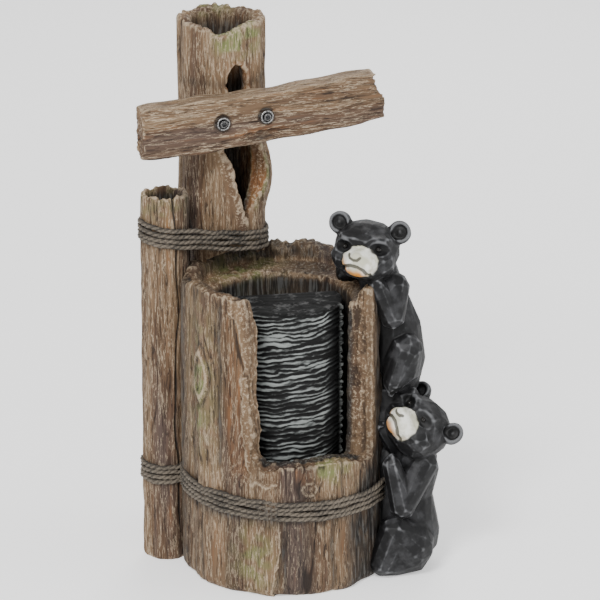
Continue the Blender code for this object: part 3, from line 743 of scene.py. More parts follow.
def carveStump(body):
    mesh = body.data
    spots, normals, z, angle, radius = roundView(mesh, (0, 0))
    outer = smoothStep(0.116, 0.121, radius)
    knotPlaces, knots = (stump["tallKnot"], stump["roundKnot"]), []
    for turn, up, halfWidth, halfHeight in knotPlaces:
        middle = polar((0, 0), math.radians(turn), fountain["stumpRadius"], up)
        knots.append((tuple(middle), halfWidth, halfHeight))
    height, relief = woodRelief(spots, 2, 3, knots)
    hidden = smoothStep(0.006, 0.0005, z) + smoothStep(0.066, 0.0625, z) * (1 - outer)
    height *= 1 - np.clip(hidden, 0, 1)

    def edgeTurn(key):
        turn, level = zip(*stump[key])
        return np.radians(np.interp(z, level, turn))

    def within(low, high, soft=0.006):
        return smoothStep(low - soft, low + soft, z) * smoothStep(high + soft, high - soft, z)

    # left of the opening the bark is torn off in a bare strip, and below the sill in a ragged step
    wobble = latticeNoise(np.stack([z * 190, 0 * z, 0 * z + 3], axis=1), 12) * 0.016
    fromLeft = turnBetween(angle, edgeTurn("bareLeft")) * fountain["stumpRadius"]
    fromRight = turnBetween(angle, edgeTurn("bareRight") + wobble) * fountain["stumpRadius"]
    bare = smoothStep(-0.003, 0.003, fromLeft) * smoothStep(0.0007, -0.0007, fromRight)
    bare *= within(0.16, 0.374, 0.012) * outer
    lowLine = 0.152 + 0.004 * latticeNoise(np.stack([angle * 26, z * 0, z * 0], axis=1), 13)
    degrees = np.degrees(angle)
    underSill = smoothStep(-132, -129, degrees) * smoothStep(-112, -117, degrees)
    step = underSill * smoothStep(0.0, 0.002, z - lowLine) * smoothStep(0.20, 0.19, z) * outer
    tornEdge = (bump(fromRight, 0.0026) * within(0.165, 0.376) + bump(z - lowLine, 0.0026) * underSill) * outer
    remnant = smoothStep(-0.0006, 0.0006, fromRight) * smoothStep(-116, -122, degrees)
    remnant *= within(0.17, 0.40) * outer
    fromPlate = turnBetween(angle, edgeTurn("plateEdge") + 0.8 * wobble) * fountain["stumpRadius"]
    besidePlate = smoothStep(-0.0007, 0.0007, fromPlate) * smoothStep(0.030, 0.002, fromPlate)
    besidePlate *= (z < 0.118) * outer
    plateEdge = bump(fromPlate + 0.001, 0.0026) * (z < 0.112) * outer
    grooves = np.zeros(len(z))
    for turn, low, high, halfWidth, depth in stump["grooves"]:
        wander = math.radians(turn) + 0.012 * np.sin(70 * z)
        groove = bump(turnBetween(angle, wander), halfWidth) * within(low, high, 0.010) * outer
        height -= depth * groove
        grooves = np.maximum(grooves, groove)

    # the opening's two sides and the rims are broken end grain
    rightJamb, leftJamb = stump["openingRight"], stump["openingTopLeft"] + 2.5
    jamb = np.maximum(turnBump(angle, rightJamb, 0.12), turnBump(angle, leftJamb, 0.09))
    jamb *= z > stump["sillHeight"] - 0.01
    crumbs = latticeNoise(spots / 0.0042, 40) + 0.6 * latticeNoise(spots / 0.0023, 41)
    flat = smoothStep(0.55, 0.85, np.abs(normals[:, 2])) * (z > 0.12)
    back = turnBump(angle, 75, math.radians(140))
    gnarl = back * smoothStep(0.366, 0.374, z) * (1 - 2 * np.abs(latticeNoise(spots / 0.010, 46)))
    rough = np.clip(jamb + flat + 0.8 * remnant + tornEdge, 0, 1)
    stripped = np.clip(bare + step, 0, 1)
    height = height * (1 - 0.6 * stripped) + stump["crumbDepth"] * crumbs * rough + stump["gnarlDepth"] * gnarl
    height -= stump["barkLayer"] * stripped + stump["plateRise"] * besidePlate
    height += 0.0014 * tornEdge + 0.0008 * plateEdge

    # knots: a tall pointed one and a small round one, each with a raised ring
    rings = np.zeros(len(z))
    hollows = np.zeros(len(z))
    for turn, up, halfWidth, halfHeight in knotPlaces:
        across = np.abs(turnBetween(angle, math.radians(turn)) * fountain["stumpRadius"] / halfWidth)
        far = (across**1.5 + np.abs((z - up) / halfHeight) ** 1.5) ** (1 / 1.5)
        rings = np.maximum(rings, np.exp(-(((far - 0.95) * halfWidth) / 0.0021) ** 2) * outer)
        hollows = np.maximum(hollows, np.exp(-(((far - 1.3) * halfWidth) / 0.0020) ** 2) * outer)
    height += stump["knotRing"] * rings - stump["knotMoat"] * hollows

    # gnarled drips down the basin's inner wall
    inner = (1 - outer) * (z < stump["ledgeHeight"] - 0.002)
    drips = 1 - 2 * np.abs(latticeNoise(spots * np.array([1, 1, 0.22]) / 0.0085, 44))
    height += stump["dripDepth"] * drips * inner * (z > 0.075)
    moveAlongNormals(mesh, height)

    wear = edgeWear(mesh, 8) / 0.0008
    relief = relief * (1 - inner) + inner * (0.35 + 0.3 * drips)
    relief = relief + 0.2 * rough * crumbs + 0.25 * rings - 0.3 * hollows
    # painted shade: behind the bears, inside the basin and on the ledge's right side, round the lower rope, on
    # the back rim, in bark creases and grooves, between stump and small post, beside the bark plate and in the
    # knot moats
    reachLow = np.radians(38 + 34 * smoothStep(0.19, 0.10, z))
    behindBear = smoothStep(1.0, 0.70, np.abs(turnBetween(angle, math.radians(-12))) / reachLow)
    bearShade = 0.97 * behindBear * smoothStep(0.46, 0.38, z) * smoothStep(0.110, 0.126, radius)
    jambFace = smoothStep(0.0, 0.3, jamb) * smoothStep(0.094, 0.102, radius)
    ledgeRight = smoothStep(0.5, 0.8, normals[:, 2]) * (1 - outer) * turnBump(angle, 50, 0.9)
    innerShade = smoothStep(0.1175, 0.112, radius) * smoothStep(0.364, 0.354, z) * (1 - jambFace)
    ropeShade = bump(z - 0.113, 0.029) * outer * 0.85 * (1 - rings)
    ledgeEnd = 0.6 * smoothStep(20, -30, degrees) * (1 - outer) * (1 - jamb)
    rimShade = back * (0.80 * smoothStep(0.368, 0.376, z) - 0.25 * gnarl)
    creases = 0.45 * smoothStep(-0.05, -0.75, stumpWave(angle, z) / stump["barkDepth"]) * outer
    sides = 0.75 * turnBump(angle, 168, 0.34) * outer
    soot = np.maximum.reduce([
        bearShade, innerShade, ledgeEnd, ropeShade, rimShade, creases, sides, 0.72 * grooves, 0.5 * besidePlate,
        0.6 * hollows, 0.75 * ledgeRight,
    ]) * (0.92 + 0.16 * latticeNoise(spots / 0.012, 50))
    mossNoise = 0.5 + 0.5 * latticeNoise(spots / 0.009, 51)
    turn, up, halfWidth, halfHeight = stump["tallKnot"]
    aside = turnBetween(angle, math.radians(turn))
    core = smoothStep(1.25, 0.6, np.hypot(aside * fountain["stumpRadius"] / halfWidth, (z - up) / halfHeight))
    moss = np.maximum.reduce([
        1.4 * core + 1.1 * bump(aside, 0.085) * bump(z - 0.225, 0.062),
        bump(aside, 0.42) * bump(z - 0.27, 0.15) * 0.6,
        patches(angle, z, stump["moss"]),
    ]) * smoothStep(0.25, 0.75, mossNoise)
    stains = 0.45 + 0.45 * latticeNoise(spots * np.array([1, 1, 0.15]) / 0.007, 52)
    fibres = 0.6 + 0.5 * latticeNoise(spots * np.array([1, 1, 0.1]) / 0.004, 53)
    rust = np.maximum(patches(angle, z, stump["rust"]) * stains * outer, 0.55 * bare * fibres)
    pale = 0.5 * wear * (wear > 0) + 0.85 * tornEdge + 0.7 * plateEdge * (0.6 + 0.5 * crumbs)
    pale += 0.9 * rings + 0.2 * rough
    keepMasks(mesh, relief=relief, wear=pale, soot=soot, moss=moss, rust=rust, broken=rough)


stumpBark = makeStump()
carveStump(stumpBark)
finishPiece(stumpBark, uprightWood, "resin_bark", "log_casting")
print("stump", len(stumpBark.data.polygons))


# tall post with its spout gash and knot hole
tallPost = {
    "voxel": 0.0016,
    "stretch": 2.2,
    "spokes": 150,
    "barkDepth": 0.0022,
    "barkRidges": 7,
    "barkSeed": 1.7,
    "splitAngle": -35.0,
    "splitDepth": 0.0020,
    "leftLipRise": 0.0030,
    "lipRise": 0.0008,
    "holeLipRise": 0.0012,
    "tearPace": 0.0022,
    "gashTear": 0.0016,
    "holeTear": 0.0024,
    "wall": 0.017,
    "height": 0.701,
    "rimNotch": 0.010,
    "hollowFloor": 0.446,
    "gashTip": -75.0,
    "gashLeft": -110.0,
    "gashRight": -38.0,
    "gashLow": 0.440,
    "gashHigh": 0.556,
    "lipAngle": -26.0,
    "lipHeight": 0.494,
    "lipFlare": 0.011,
    "holeAngle": -87.0,
    "holeHalfWidth": 0.016,
    "holeHeight": 0.624,
    "holeHalfHeight": 0.028,
    # sides of the gash: share of the way out from its tip and share of its height
    "gashLeftSide": ((1.0, 1.0), (1.0, 0.82), (0.62, 0.60), (0.50, 0.42), (0.20, 0.14)),
    "gashRightSide": ((0.20, 0.12), (0.62, 0.30), (1.0, 0.48), (1.0, 0.64), (0.80, 0.82), (0.74, 1.0)),
    "levels": (
        0.0, 0.1, 0.2, 0.3, 0.4, 0.43, 0.445, 0.46, 0.475, 0.49, 0.505, 0.52, 0.535, 0.55, 0.58, 0.62, 0.66,
    ),
    # what the stump's bowl takes away from the post: radius and height
    "bowl": ((0.110, 0.30), (0.110, 0.362), (0.116, 0.368), (0.114, 0.390), (0.090, 0.402), (0.064, 0.411)),
    # moss: turn in degrees, its half width, height, its half height, strength
    "moss": ((-84.0, 0.78, 0.687, 0.036, 2.6), (-70.0, 0.5, 0.39, 0.04, 0.7)),
}


def postReach(angle, z):
    flare = tallPost["lipFlare"] * turnBump(angle, tallPost["lipAngle"], math.radians(34))
    return (
        fountain["postRadius"]
        + tallPost["barkDepth"] * barkWave(angle, z, tallPost["barkRidges"], tallPost["barkSeed"])
        + flare * bump(z - tallPost["lipHeight"], 0.052)
        - 0.0015 * math.sin(14 * z)
        - fountain["skinInset"]
    )


def postRim(angle):
    notch = tallPost["rimNotch"] * turnBump(angle, -113, math.radians(36))
    return tallPost["height"] - notch + 0.0028 * ragged(angle, 0.4) + splinter(angle, 8.0, 0.0032) + 0.0008


def postProfile(angle):
    rim, top, hollow = postRim(angle), postReach(angle, 0.70), fountain["postRadius"] - tallPost["wall"]
    return [
        *((postReach(angle, z), z) for z in tallPost["levels"]), (top - 0.001, rim - 0.002), (top - 0.004, rim),
        (hollow + 0.004, rim - 0.002), (hollow + 0.001, rim - 0.008), (hollow, tallPost["hollowFloor"]),
    ]


def gashOutline():
    tip, left, right = (math.radians(tallPost[key]) for key in ("gashTip", "gashLeft", "gashRight"))
    low, rise = tallPost["gashLow"], tallPost["gashHigh"] - tallPost["gashLow"]
    outline = [(tip + (left - tip) * side, low + rise * up) for side, up in tallPost["gashLeftSide"]]
    outline.append((tip, low))
    return outline + [(tip + (right - tip) * side, low + rise * up) for side, up in tallPost["gashRightSide"]]


def holeOutline():
    sweep = tallPost["holeHalfWidth"] / fountain["postRadius"]
    middle = math.radians(tallPost["holeAngle"])
    return [
        (middle + sweep * math.cos(t), tallPost["holeHeight"] + tallPost["holeHalfHeight"] * math.sin(t))
        for t in turns(24)
    ]


def makePost():
    body = lathe("tallPost", postCentre, tallPost["spokes"], postProfile)
    inner, outer = 0.5 * (fountain["postRadius"] - tallPost["wall"]), fountain["postRadius"] + 0.05
    tools = []
    for name, outline, seed in (("gash", gashOutline(), 2.0), ("hole", holeOutline(), 6.0)):
        tear = tallPost[name + "Tear"]
        seeds, jump = (seed, 14), (tear, 0.6 * tear)
        torn = tornOutline(outline, fountain["postRadius"], tallPost["tearPace"], (20, 300), seeds, jump)
        tools.append(wedge(name, postCentre, torn, inner, outer))
    tools.append(lathe("bowl", (0, 0), 64, lambda angle: tallPost["bowl"]))
    cutAway(body, tools)
    reskin(body, tallPost["voxel"], 2, tallPost["stretch"])
    mergeFlat(body.data, 0.0)
    return body


def outlineDistance(turn, z, outline):
    # how far each point of the unrolled wall is from an outline, in metres
    near = np.full(len(turn), 9.0)
    across = turn * fountain["postRadius"]
    for (a, za), (b, zb) in zip(outline, outline[1:] + outline[:1]):
        ax, bx = a * fountain["postRadius"], b * fountain["postRadius"]
        dx, dz = bx - ax, zb - za
        share = np.clip(((across - ax) * dx + (z - za) * dz) / (dx * dx + dz * dz), 0, 1)
        near = np.minimum(near, np.hypot(across - ax - share * dx, z - za - share * dz))
    return near


def carvePost(body):
    mesh = body.data
    spots, normals, z, angle, radius = roundView(mesh, postCentre)
    outer = smoothStep(0.0455, 0.0495, radius)
    height, relief = woodRelief(spots, 2, 11)
    fromGash = outlineDistance(angle, z, gashOutline())
    lip = np.exp(-(fromGash / 0.0065) ** 2)
    holeLip = np.exp(-(outlineDistance(angle, z, holeOutline()) / 0.0045) ** 2)
    leftLip = np.exp(-(fromGash / 0.0115) ** 2) * smoothStep(0.56, 0.54, z)
    leftLip *= turnBetween(angle, math.radians(tallPost["gashTip"])) < 0.05
    crumbs = latticeNoise(spots / 0.0042, 60) + 0.6 * latticeNoise(spots / 0.0022, 61)
    endGrain = smoothStep(0.5, 0.8, normals[:, 2])
    rise = tallPost["leftLipRise"] * leftLip + tallPost["lipRise"] * lip + tallPost["holeLipRise"] * holeLip
    height = height * (1 - 0.5 * lip) + outer * rise
    height += 0.0010 * crumbs * np.clip(lip + 1.2 * leftLip + 0.6 * holeLip + endGrain, 0, 1)
    height *= smoothStep(0.0, 0.006, z)
    # a long split runs down from the rim at the back right
    wander = math.radians(tallPost["splitAngle"]) + 0.05 * np.sin(60 * z)
    split = bump(turnBetween(angle, wander), 0.05) * (z > 0.62) * outer
    height -= tallPost["splitDepth"] * split
    moveAlongNormals(mesh, height)
    wear = edgeWear(mesh, 8) / 0.0007
    inside = smoothStep(0.0475, 0.043, radius)
    glow = inside * turnBump(angle, -8, 1.15) * bump(z - 0.500, 0.090)
    behindHole = inside * bump(z - 0.625, 0.045) * turnBump(angle, 60, 1.6)
    facing = normals[:, 0] * np.cos(angle) + normals[:, 1] * np.sin(angle)
    cutFace = smoothStep(0.75, 0.35, facing) * turnBump(angle, -44, 0.62)
    cutFace *= smoothStep(0.038, 0.042, radius) * smoothStep(0.43, 0.445, z) * smoothStep(0.575, 0.555, z)
    front = outer * (angle < 0)
    boardShade = 0.55 * bump(z - 0.553, 0.020) * front + 0.35 * bump(z - 0.626, 0.010) * front
    ropeShade = 0.55 * bump(z - 0.418, 0.022) * outer
    hollowShade = inside * (0.86 - 0.80 * np.clip(glow * 1.4, 0, 1) - 0.42 * behindHole)
    # painted shade in the hollow, under the board and along the rope, lighter where light falls in through the
    # gash and behind the knot hole; the hollow's rim stays brown for a finger's width
    soot = np.maximum.reduce([hollowShade, boardShade, ropeShade]) * (1 - 0.75 * smoothStep(0.672, 0.695, z))
    mossNoise = 0.5 + 0.5 * latticeNoise(spots / 0.008, 62)
    rightOfTip = angle > math.radians(-60)
    moss = np.maximum.reduce([
        patches(angle, z, tallPost["moss"]),
        0.9 * turnBump(angle, 90, 0.9) * smoothStep(0.684, 0.694, z),
        0.75 * lip * rightOfTip * (z > 0.45) * (1 - cutFace),
    ]) * smoothStep(0.2, 0.7, mossNoise)
    rust = cutFace * (0.30 + 0.60 * smoothStep(0.530, 0.465, z)) + 0.7 * glow
    rust += 0.55 * holeLip * (radius < 0.054) + 0.8 * behindHole
    pale = np.clip(0.5 * wear, 0, 1) + 0.40 * leftLip * outer * (0.4 + 0.6 * crumbs)
    pale += 0.25 * smoothStep(0.688, 0.70, z) + 0.35 * lip * rightOfTip * (0.5 + 0.5 * crumbs) * (1 - cutFace)
    broken = 1.2 * leftLip * outer + 0.6 * lip + endGrain
    keepMasks(mesh, relief=relief - 0.5 * split, wear=pale, soot=soot, moss=moss, rust=rust, broken=broken)


postBark = makePost()
carvePost(postBark)
finishPiece(postBark, uprightWood, "resin_bark", "log_casting")
print("tall post", len(postBark.data.polygons))


# small post
smallPost = {
    "voxel": 0.0013,
    "stretch": 2.2,
    "wall": 0.006,
    "height": 0.490,
    "hollowDepth": 0.070,
    "spokes": 96,
    "barkDepth": 0.0014,
    "barkRidges": 4,
    "barkSeed": 2.6,
    "splitAngle": -78.0,
    "splitDepth": 0.0034,
}


def smallProfile(angle):
    top, hollow = smallPost["height"], fountain["smallRadius"] - smallPost["wall"]
    rim = top + 0.003 * ragged(angle, 1.1) + splinter(angle, 5.0, 0.0018) + 0.0005

    def reach(z):
        wave = smallPost["barkDepth"] * barkWave(angle, z, smallPost["barkRidges"], smallPost["barkSeed"])
        return fountain["smallRadius"] + wave - 0.0003

    return [
        *((reach(z), z) for z in (0.0, 0.06, 0.12, 0.18, 0.25, 0.31, 0.37, 0.45)),
        (reach(top) - 0.0005, rim - 0.001), (hollow + 0.002, rim), (hollow, rim - 0.004),
        (hollow - 0.001, top - smallPost["hollowDepth"]),
    ]


def makeSmallPost():
    body = lathe("smallPost", smallCentre, smallPost["spokes"], smallProfile)
    reskin(body, smallPost["voxel"], 2, smallPost["stretch"])
    mergeFlat(body.data, 0.0)
    return body


def carveSmallPost(body):
    mesh = body.data
    spots, normals, z, angle, radius = roundView(mesh, smallCentre)
    outer = smoothStep(0.0235, 0.0255, radius)
    height, relief = woodRelief(spots, 2, 21)
    height *= smoothStep(0.0, 0.006, z) * (0.35 + 0.65 * outer)
    wander = math.radians(smallPost["splitAngle"]) + 0.10 * np.sin(22 * z) + 0.05 * np.sin(61 * z)
    split = bump(turnBetween(angle, wander), 0.085) * outer * smoothStep(0.02, 0.06, z)
    height -= smallPost["splitDepth"] * split
    moveAlongNormals(mesh, height)
    wear = edgeWear(mesh, 8) / 0.0007
    # painted shade along both ropes, inside the hollow, on the side turned from the light and in the split
    ropeShade = 0.5 * np.maximum(bump(z - 0.436, 0.024), bump(z - 0.118, 0.026)) * outer
    inner = smoothStep(0.0245, 0.0225, radius) * smoothStep(0.488, 0.476, z)
    side = 0.55 * turnBump(angle, -30, 0.8) * outer
    soot = np.maximum.reduce([0.95 * inner, ropeShade, side, 0.75 * split])
    rust = 0.45 * turnBump(angle, -100, 0.3) * (0.4 + 0.6 * latticeNoise(spots / 0.03, 70))
    moss = 0.4 * bump(z - 0.478, 0.03) * smoothStep(0.3, 0.7, 0.5 + 0.5 * latticeNoise(spots / 0.007, 71))
    pale = 0.5 * wear + 0.3 * smoothStep(0.480, 0.49, z)
    broken = smoothStep(0.5, 0.8, normals[:, 2]) * (z > 0.3)
    keepMasks(mesh, relief=relief - 0.6 * split, wear=pale, soot=soot, moss=moss, rust=rust, broken=broken)


smallBark = makeSmallPost()
carveSmallPost(smallBark)
finishPiece(smallBark, uprightWood, "resin_bark", "log_casting")
print("small post", len(smallBark.data.polygons))


# cross board
board = {
    "voxel": 0.0011,
    "stretch": 2.3,
    "leftReach": 0.134,
    "rightReach": 0.193,
    "height": 0.0605,
    "taper": 0.004,
    "tornEnd": 0.012,
    "thickness": 0.032,
    "sink": 0.005,
    "middle": 0.5865,
    "tilt": 3.4,
    "boltSpacing": 0.0580,
    "boltShift": 0.002,
    "corner": 0.0034,
    "stations": 90,
    "sectionInset": 0.0006,
    "endReach": 0.012,
    "dentDepth": 0.0010,
    "notchDepth": 0.0045,
}
boardFront = postCentre[1] - fountain["postRadius"] + board["sink"] - board["thickness"]


def boardHeightAt(x):
    return board["middle"] + (x - postCentre[0]) * math.tan(math.radians(board["tilt"]))


def boltPlaces():
    xs = [postCentre[0] + board["boltShift"] + side * board["boltSpacing"] / 2 for side in (-1, 1)]
    return [Vector((x, boardFront - 0.001, boardHeightAt(x))) for x in xs]


def boardSection(half):
    # the outline of a cut across the board, as (depth, height) pairs round its four worn corners
    front = boardFront + board["sectionInset"]
    back = boardFront + board["thickness"] - board["sectionInset"]
    corner, bend = board["corner"], (0, 0.5, 1.1, 1.57)
    level = half - corner
    edge = [(front + 0.0008 * math.sin(1.9 * k), level * (2 * k / 11 - 1)) for k in range(12)]
    edge += [(front + corner * (1 - math.cos(t)), level + corner * math.sin(t)) for t in bend[1:]]
    edge += [(back - corner * (1 - math.sin(t)), level + corner * math.cos(t)) for t in bend]
    edge += [(back, level * (1 - 2 * k / 5)) for k in range(1, 6)]
    edge += [(back - corner * (1 - math.cos(t)), -level - corner * math.sin(t)) for t in bend[1:]]
    edge += [(front + corner * (1 - math.sin(t)), -level - corner * math.cos(t)) for t in bend[:3]]
    return edge


def makeBoard():
    length = board["leftReach"] + board["rightReach"]
    rings = []
    for share in (i / board["stations"] for i in range(board["stations"] + 1)):
        x, right = postCentre[0] - board["leftReach"] + length * share, share > 0.5
        half = (board["height"] - board["taper"] * (share - 0.5)) / 2 - 0.0007
        half += 0.0014 * math.sin(9 * share) + 0.0008 * math.sin(31 * share)
        nearEnd = max(0.0, 1 - min(share, 1 - share) * length / board["endReach"])
        ring = []
        for y, z in boardSection(half):
            reach = 0.0
            if nearEnd > 0:
                spot = np.array([[y / 0.006, z / 0.005, 1.0 + right]])
                tear = latticeNoise(spot, 80)[0] * 0.0045 + latticeNoise(spot * 2.1, 81)[0] * 0.002
                step = board["tornEnd"] * float(smoothStep(-0.004, 0.010, np.float64(z)))
                reach = nearEnd * ((tear - 0.003 - step) if right else (tear + 0.003))
            deeper = 1 + 0.18 * math.sin(math.pi * share) * (z < 0)
            ring.append(Vector((x + reach, y, boardHeightAt(x) + z * deeper)))
        rings.append(ring)
    body = loft("crossBoard", rings)
    reskin(body, board["voxel"], 0, board["stretch"])
    return body


def carveBoard(body):
    mesh = body.data
    spots, normals = meshArrays(mesh)
    x, _, z = spots.T
    # the grain runs with the board's tilt
    level = spots.copy()
    level[:, 2] = z - (boardHeightAt(x) - board["middle"])
    height, relief = woodRelief(level, 0, 33)
    up = level[:, 2] - board["middle"]
    onFront = smoothStep(0.5, 0.9, -normals[:, 1])
    seat = np.ones(len(x))
    dents = np.zeros(len(x))
    for place in boltPlaces():
        far = np.hypot(x - place[0], z - place[2])
        seat *= 1 - smoothStep(0.0125, 0.0095, far) * onFront
        dents += smoothStep(0.013, 0.0095, far) * onFront
    height = height * 0.85 * seat - board["dentDepth"] * dents
    notch = onFront * bump(x + 0.018, 0.030) * smoothStep(-0.017, -0.021, up + 0.002 * np.sin(x * 400))
    height -= board["notchDepth"] * notch
    moveAlongNormals(mesh, height)
    wear = edgeWear(mesh, 8) / 0.0006
    # painted shade on the underside, on the back, round the bolt seats and in the notch
    shade = smoothStep(0.3, 0.9, -normals[:, 2]) * 0.55
    soot = np.maximum.reduce([shade, 0.75 * dents, 0.35 * smoothStep(0.2, 0.8, normals[:, 1]), 0.6 * notch])
    streak = latticeNoise(level * np.array([0.12, 1, 1]) / 0.008, 82)
    rust = 0.55 * smoothStep(0.25, 0.8, streak) + 0.5 * bump(x + 0.02, 0.05) * bump(up + 0.018, 0.012)
    # painted highlight on the upward faces, on top of the worn edges
    pale = 0.45 * wear * (wear > 0) + 0.55 * smoothStep(0.35, 0.85, normals[:, 2])
    broken = smoothStep(0.5, 0.8, np.abs(normals[:, 0]))
    keepMasks(mesh, relief=relief, wear=pale, soot=soot, moss=0 * x, rust=rust, broken=broken)


crossBoard = makeBoard()
carveBoard(crossBoard)
finishPiece(crossBoard, crossWood, "resin_bark", "log_casting")
print("board", len(crossBoard.data.polygons))


# ropes: plies twisted round a closed path, stacked one above another
ropes = {
    "strandWidth": 0.0069,
    "pliesPerStrand": 3,
    "layLength": 0.024,
    "pointSpacing": 0.0021,
    "pliesSides": 8,
    "margin": 0.25,
    "upperHeight": 0.428,
    "upperSlope": 0.19,
    "lowerHeight": 0.118,
    "lowerSlope": 0.03,
    "lowerSag": 0.002,
    "bandStrands": 4,
    "coilStrands": 4,
    "wobble": 0.0085,
    "layShare": 0.235,
    "plyShare": 0.268,
}


def tightPath(circles, margin):
    # the outline that a tight cord makes round (centre, radius) circles
    points = []
    for t in turns(240):
        way = around(t, 1.0)
        centre, radius = max(circles, key=lambda c: Vector(c[0]).dot(way) + c[1])
        points.append(Vector(centre) + way * (radius + margin))
    return points


def makeRopeForm():
    form = Form("twistedRope", {
        "strands": 3, "plies": 3, "turns": 20.0, "strandWidth": 0.009, "spacing": 0.0021, "sides": 8,
        "wobble": 0.0004,
    })
    plies, width = ropes["pliesPerStrand"], form.size("strandWidth")
    line = form.node("GeometryNodeMeshToCurve", {}, {"Mesh": form.geometry()})
    sockets = {"Curve": line, "Length": form.size("spacing")}
    line = form.node("GeometryNodeResampleCurve", {"mode": "LENGTH"}, sockets)
    line = form.node("GeometryNodeSetCurveNormal", {"mode": "Z_UP"}, {"Curve": line})
    sockets = {"Geometry": line, "Amount": form.size("strands") * form.size("plies")}
    copies = form.node("GeometryNodeDuplicateElements", {"domain": "SPLINE"}, sockets)
    index = Wire(form, copies.socket.node.outputs["Duplicate Index"])
    strand = form.maths("FLOOR", index * (1 / plies) + 0.01)
    along = form.node("GeometryNodeSplineParameter", {}, {}, "Factor")
    turn = (along * form.size("turns") + (index - strand * plies) * (1 / plies) + strand * 0.37) * (2 * math.pi)
    lift, reach = form.maths("SINE", turn), form.maths("COSINE", turn)
    tangent = form.node("GeometryNodeInputTangent", {}, {})
    out = form.vector("NORMALIZE", form.vector("CROSS_PRODUCT", tangent, (0.0, 0.0, 1.0)))
    apart = form.node("ShaderNodeCombineXYZ", {}, {"Z": strand * 0.31})
    slack = form.ripple(form.vector("ADD", form.node("GeometryNodeInputPosition", {}, {}), apart), 34.0, 1.0)
    slack, lay = slack * form.size("wobble"), width * ropes["layShare"]
    stack = (strand - (form.size("strands") - 1) * 0.5) * width
    upward = form.node("ShaderNodeCombineXYZ", {}, {"Z": lift * lay + stack + slack})
    offset = form.vector("ADD", form.scaled(out, reach * lay + slack * 0.25), upward)
    # how far out each ply point turns, which the paint uses for painted shade and highlight
    line = form.keep(copies, "crest", reach * 0.5 + 0.5)
    line = form.node("GeometryNodeSetPosition", {}, {"Geometry": line, "Offset": offset})
    sockets = {"Resolution": form.size("sides"), "Radius": width * ropes["plyShare"]}
    ring = form.node("GeometryNodeCurvePrimitiveCircle", {}, sockets)
    return form, form.node("GeometryNodeCurveToMesh", {}, {"Curve": line, "Profile Curve": ring})


ropeForm, ropeSolid = makeRopeForm()
ropePaint = makeRopePaint()
ropeForm.close(ropeSolid, ropePaint)


def makeRope(name, circles, heightAt, strands):
    path = tightPath(circles, ropes["strandWidth"] * ropes["margin"])
    points = [(point.x, point.y, heightAt(point.x)) for point in path]
    length = sum((a - b).length for a, b in zip(path, path[1:] + path[:1]))
    mesh = bpy.data.meshes.new(name)
    mesh.from_pydata(points, [(i, (i + 1) % len(points)) for i in range(len(points))], [])
    piece = newPiece(name, mesh)
    ropeForm.shape(piece, {
        "strands": strands, "plies": ropes["pliesPerStrand"], "strandWidth": ropes["strandWidth"],
        "turns": float(round(length / ropes["layLength"])), "spacing": ropes["pointSpacing"],
        "sides": ropes["pliesSides"], "wobble": ropes["wobble"],
    })
    finishPiece(piece, ropePaint, "resin_bark", "log_casting")
    return piece


bothPosts = [(postCentre, fountain["postRadius"]), (smallCentre, fountain["smallRadius"])]
midX = (postCentre.x + smallCentre.x) / 2


def upperRopeHeight(x):
    return ropes["upperHeight"] - ropes["upperSlope"] * (x - midX)


upperRope = makeRope("upperRope", bothPosts, upperRopeHeight, ropes["bandStrands"])
stumpAndPost = [((0.0, 0.0), fountain["stumpRadius"]), (postCentre, fountain["postRadius"])]


def lowerRopeHeight(x):
    sag = ropes["lowerSag"] * bump(x, 1.1 * fountain["stumpRadius"])
    return ropes["lowerHeight"] - ropes["lowerSlope"] * x - sag


lowerRope = makeRope("lowerRope", stumpAndPost, lowerRopeHeight, ropes["bandStrands"])
postCoils = makeRope("postCoils", bothPosts[1:], lambda x: ropes["lowerHeight"], ropes["coilStrands"])
print("ropes", len(upperRope.data.polygons) + len(lowerRope.data.polygons) + len(postCoils.data.polygons))


# water wall: the ribbed black insert
waterWall = {
    "radius": 0.074,
    "back": 0.018,
    "facing": -100.0,
    "height": 0.361,
    "crown": 0.006,
    "seatGap": 0.0003,
    "columns": 170,
    "rows": 210,
    "ribSpacing": 0.0062,
    "ribDepth": 0.0014,
    "ribWaver": 0.9,
    "seamAngle": -36.0,
    "seamWidth": 4.5,
    "seamHeight": 0.0052,
    "beadSpacing": 0.0105,
}


def makeWaterWall():
    floor = stump["basinFloor"] + waterWall["seatGap"]
    radius, top = waterWall["radius"], waterWall["height"]
    corner = math.acos(-waterWall["back"] / radius)
    facing = math.radians(waterWall["facing"])
    bends = [facing + corner * (2 * i / waterWall["columns"] - 1) for i in range(waterWall["columns"] + 1)]
    middle = Vector((*around(facing, 0.35 * radius), 0))
    rings = []
    for i in range(waterWall["rows"] + 1):
        z = floor + (top - waterWall["crown"] - floor) * i / waterWall["rows"]
        rings.append([polar((0, 0), a, radius - 0.0012, z) for a in bends])
    edge = rings[-1]
    steps = ((0.03, 0.002), (0.08, 0.0036), *((0.15 + 0.03 * k, 0.0044) for k in range(26)))
    for inset, up in steps:
        goal, rise = Vector((middle.x, middle.y, edge[0].z)), Vector((0, 0, up))
        rings.append([point.lerp(goal, inset) + rise for point in edge])
    return loft("waterWallSkin", rings)


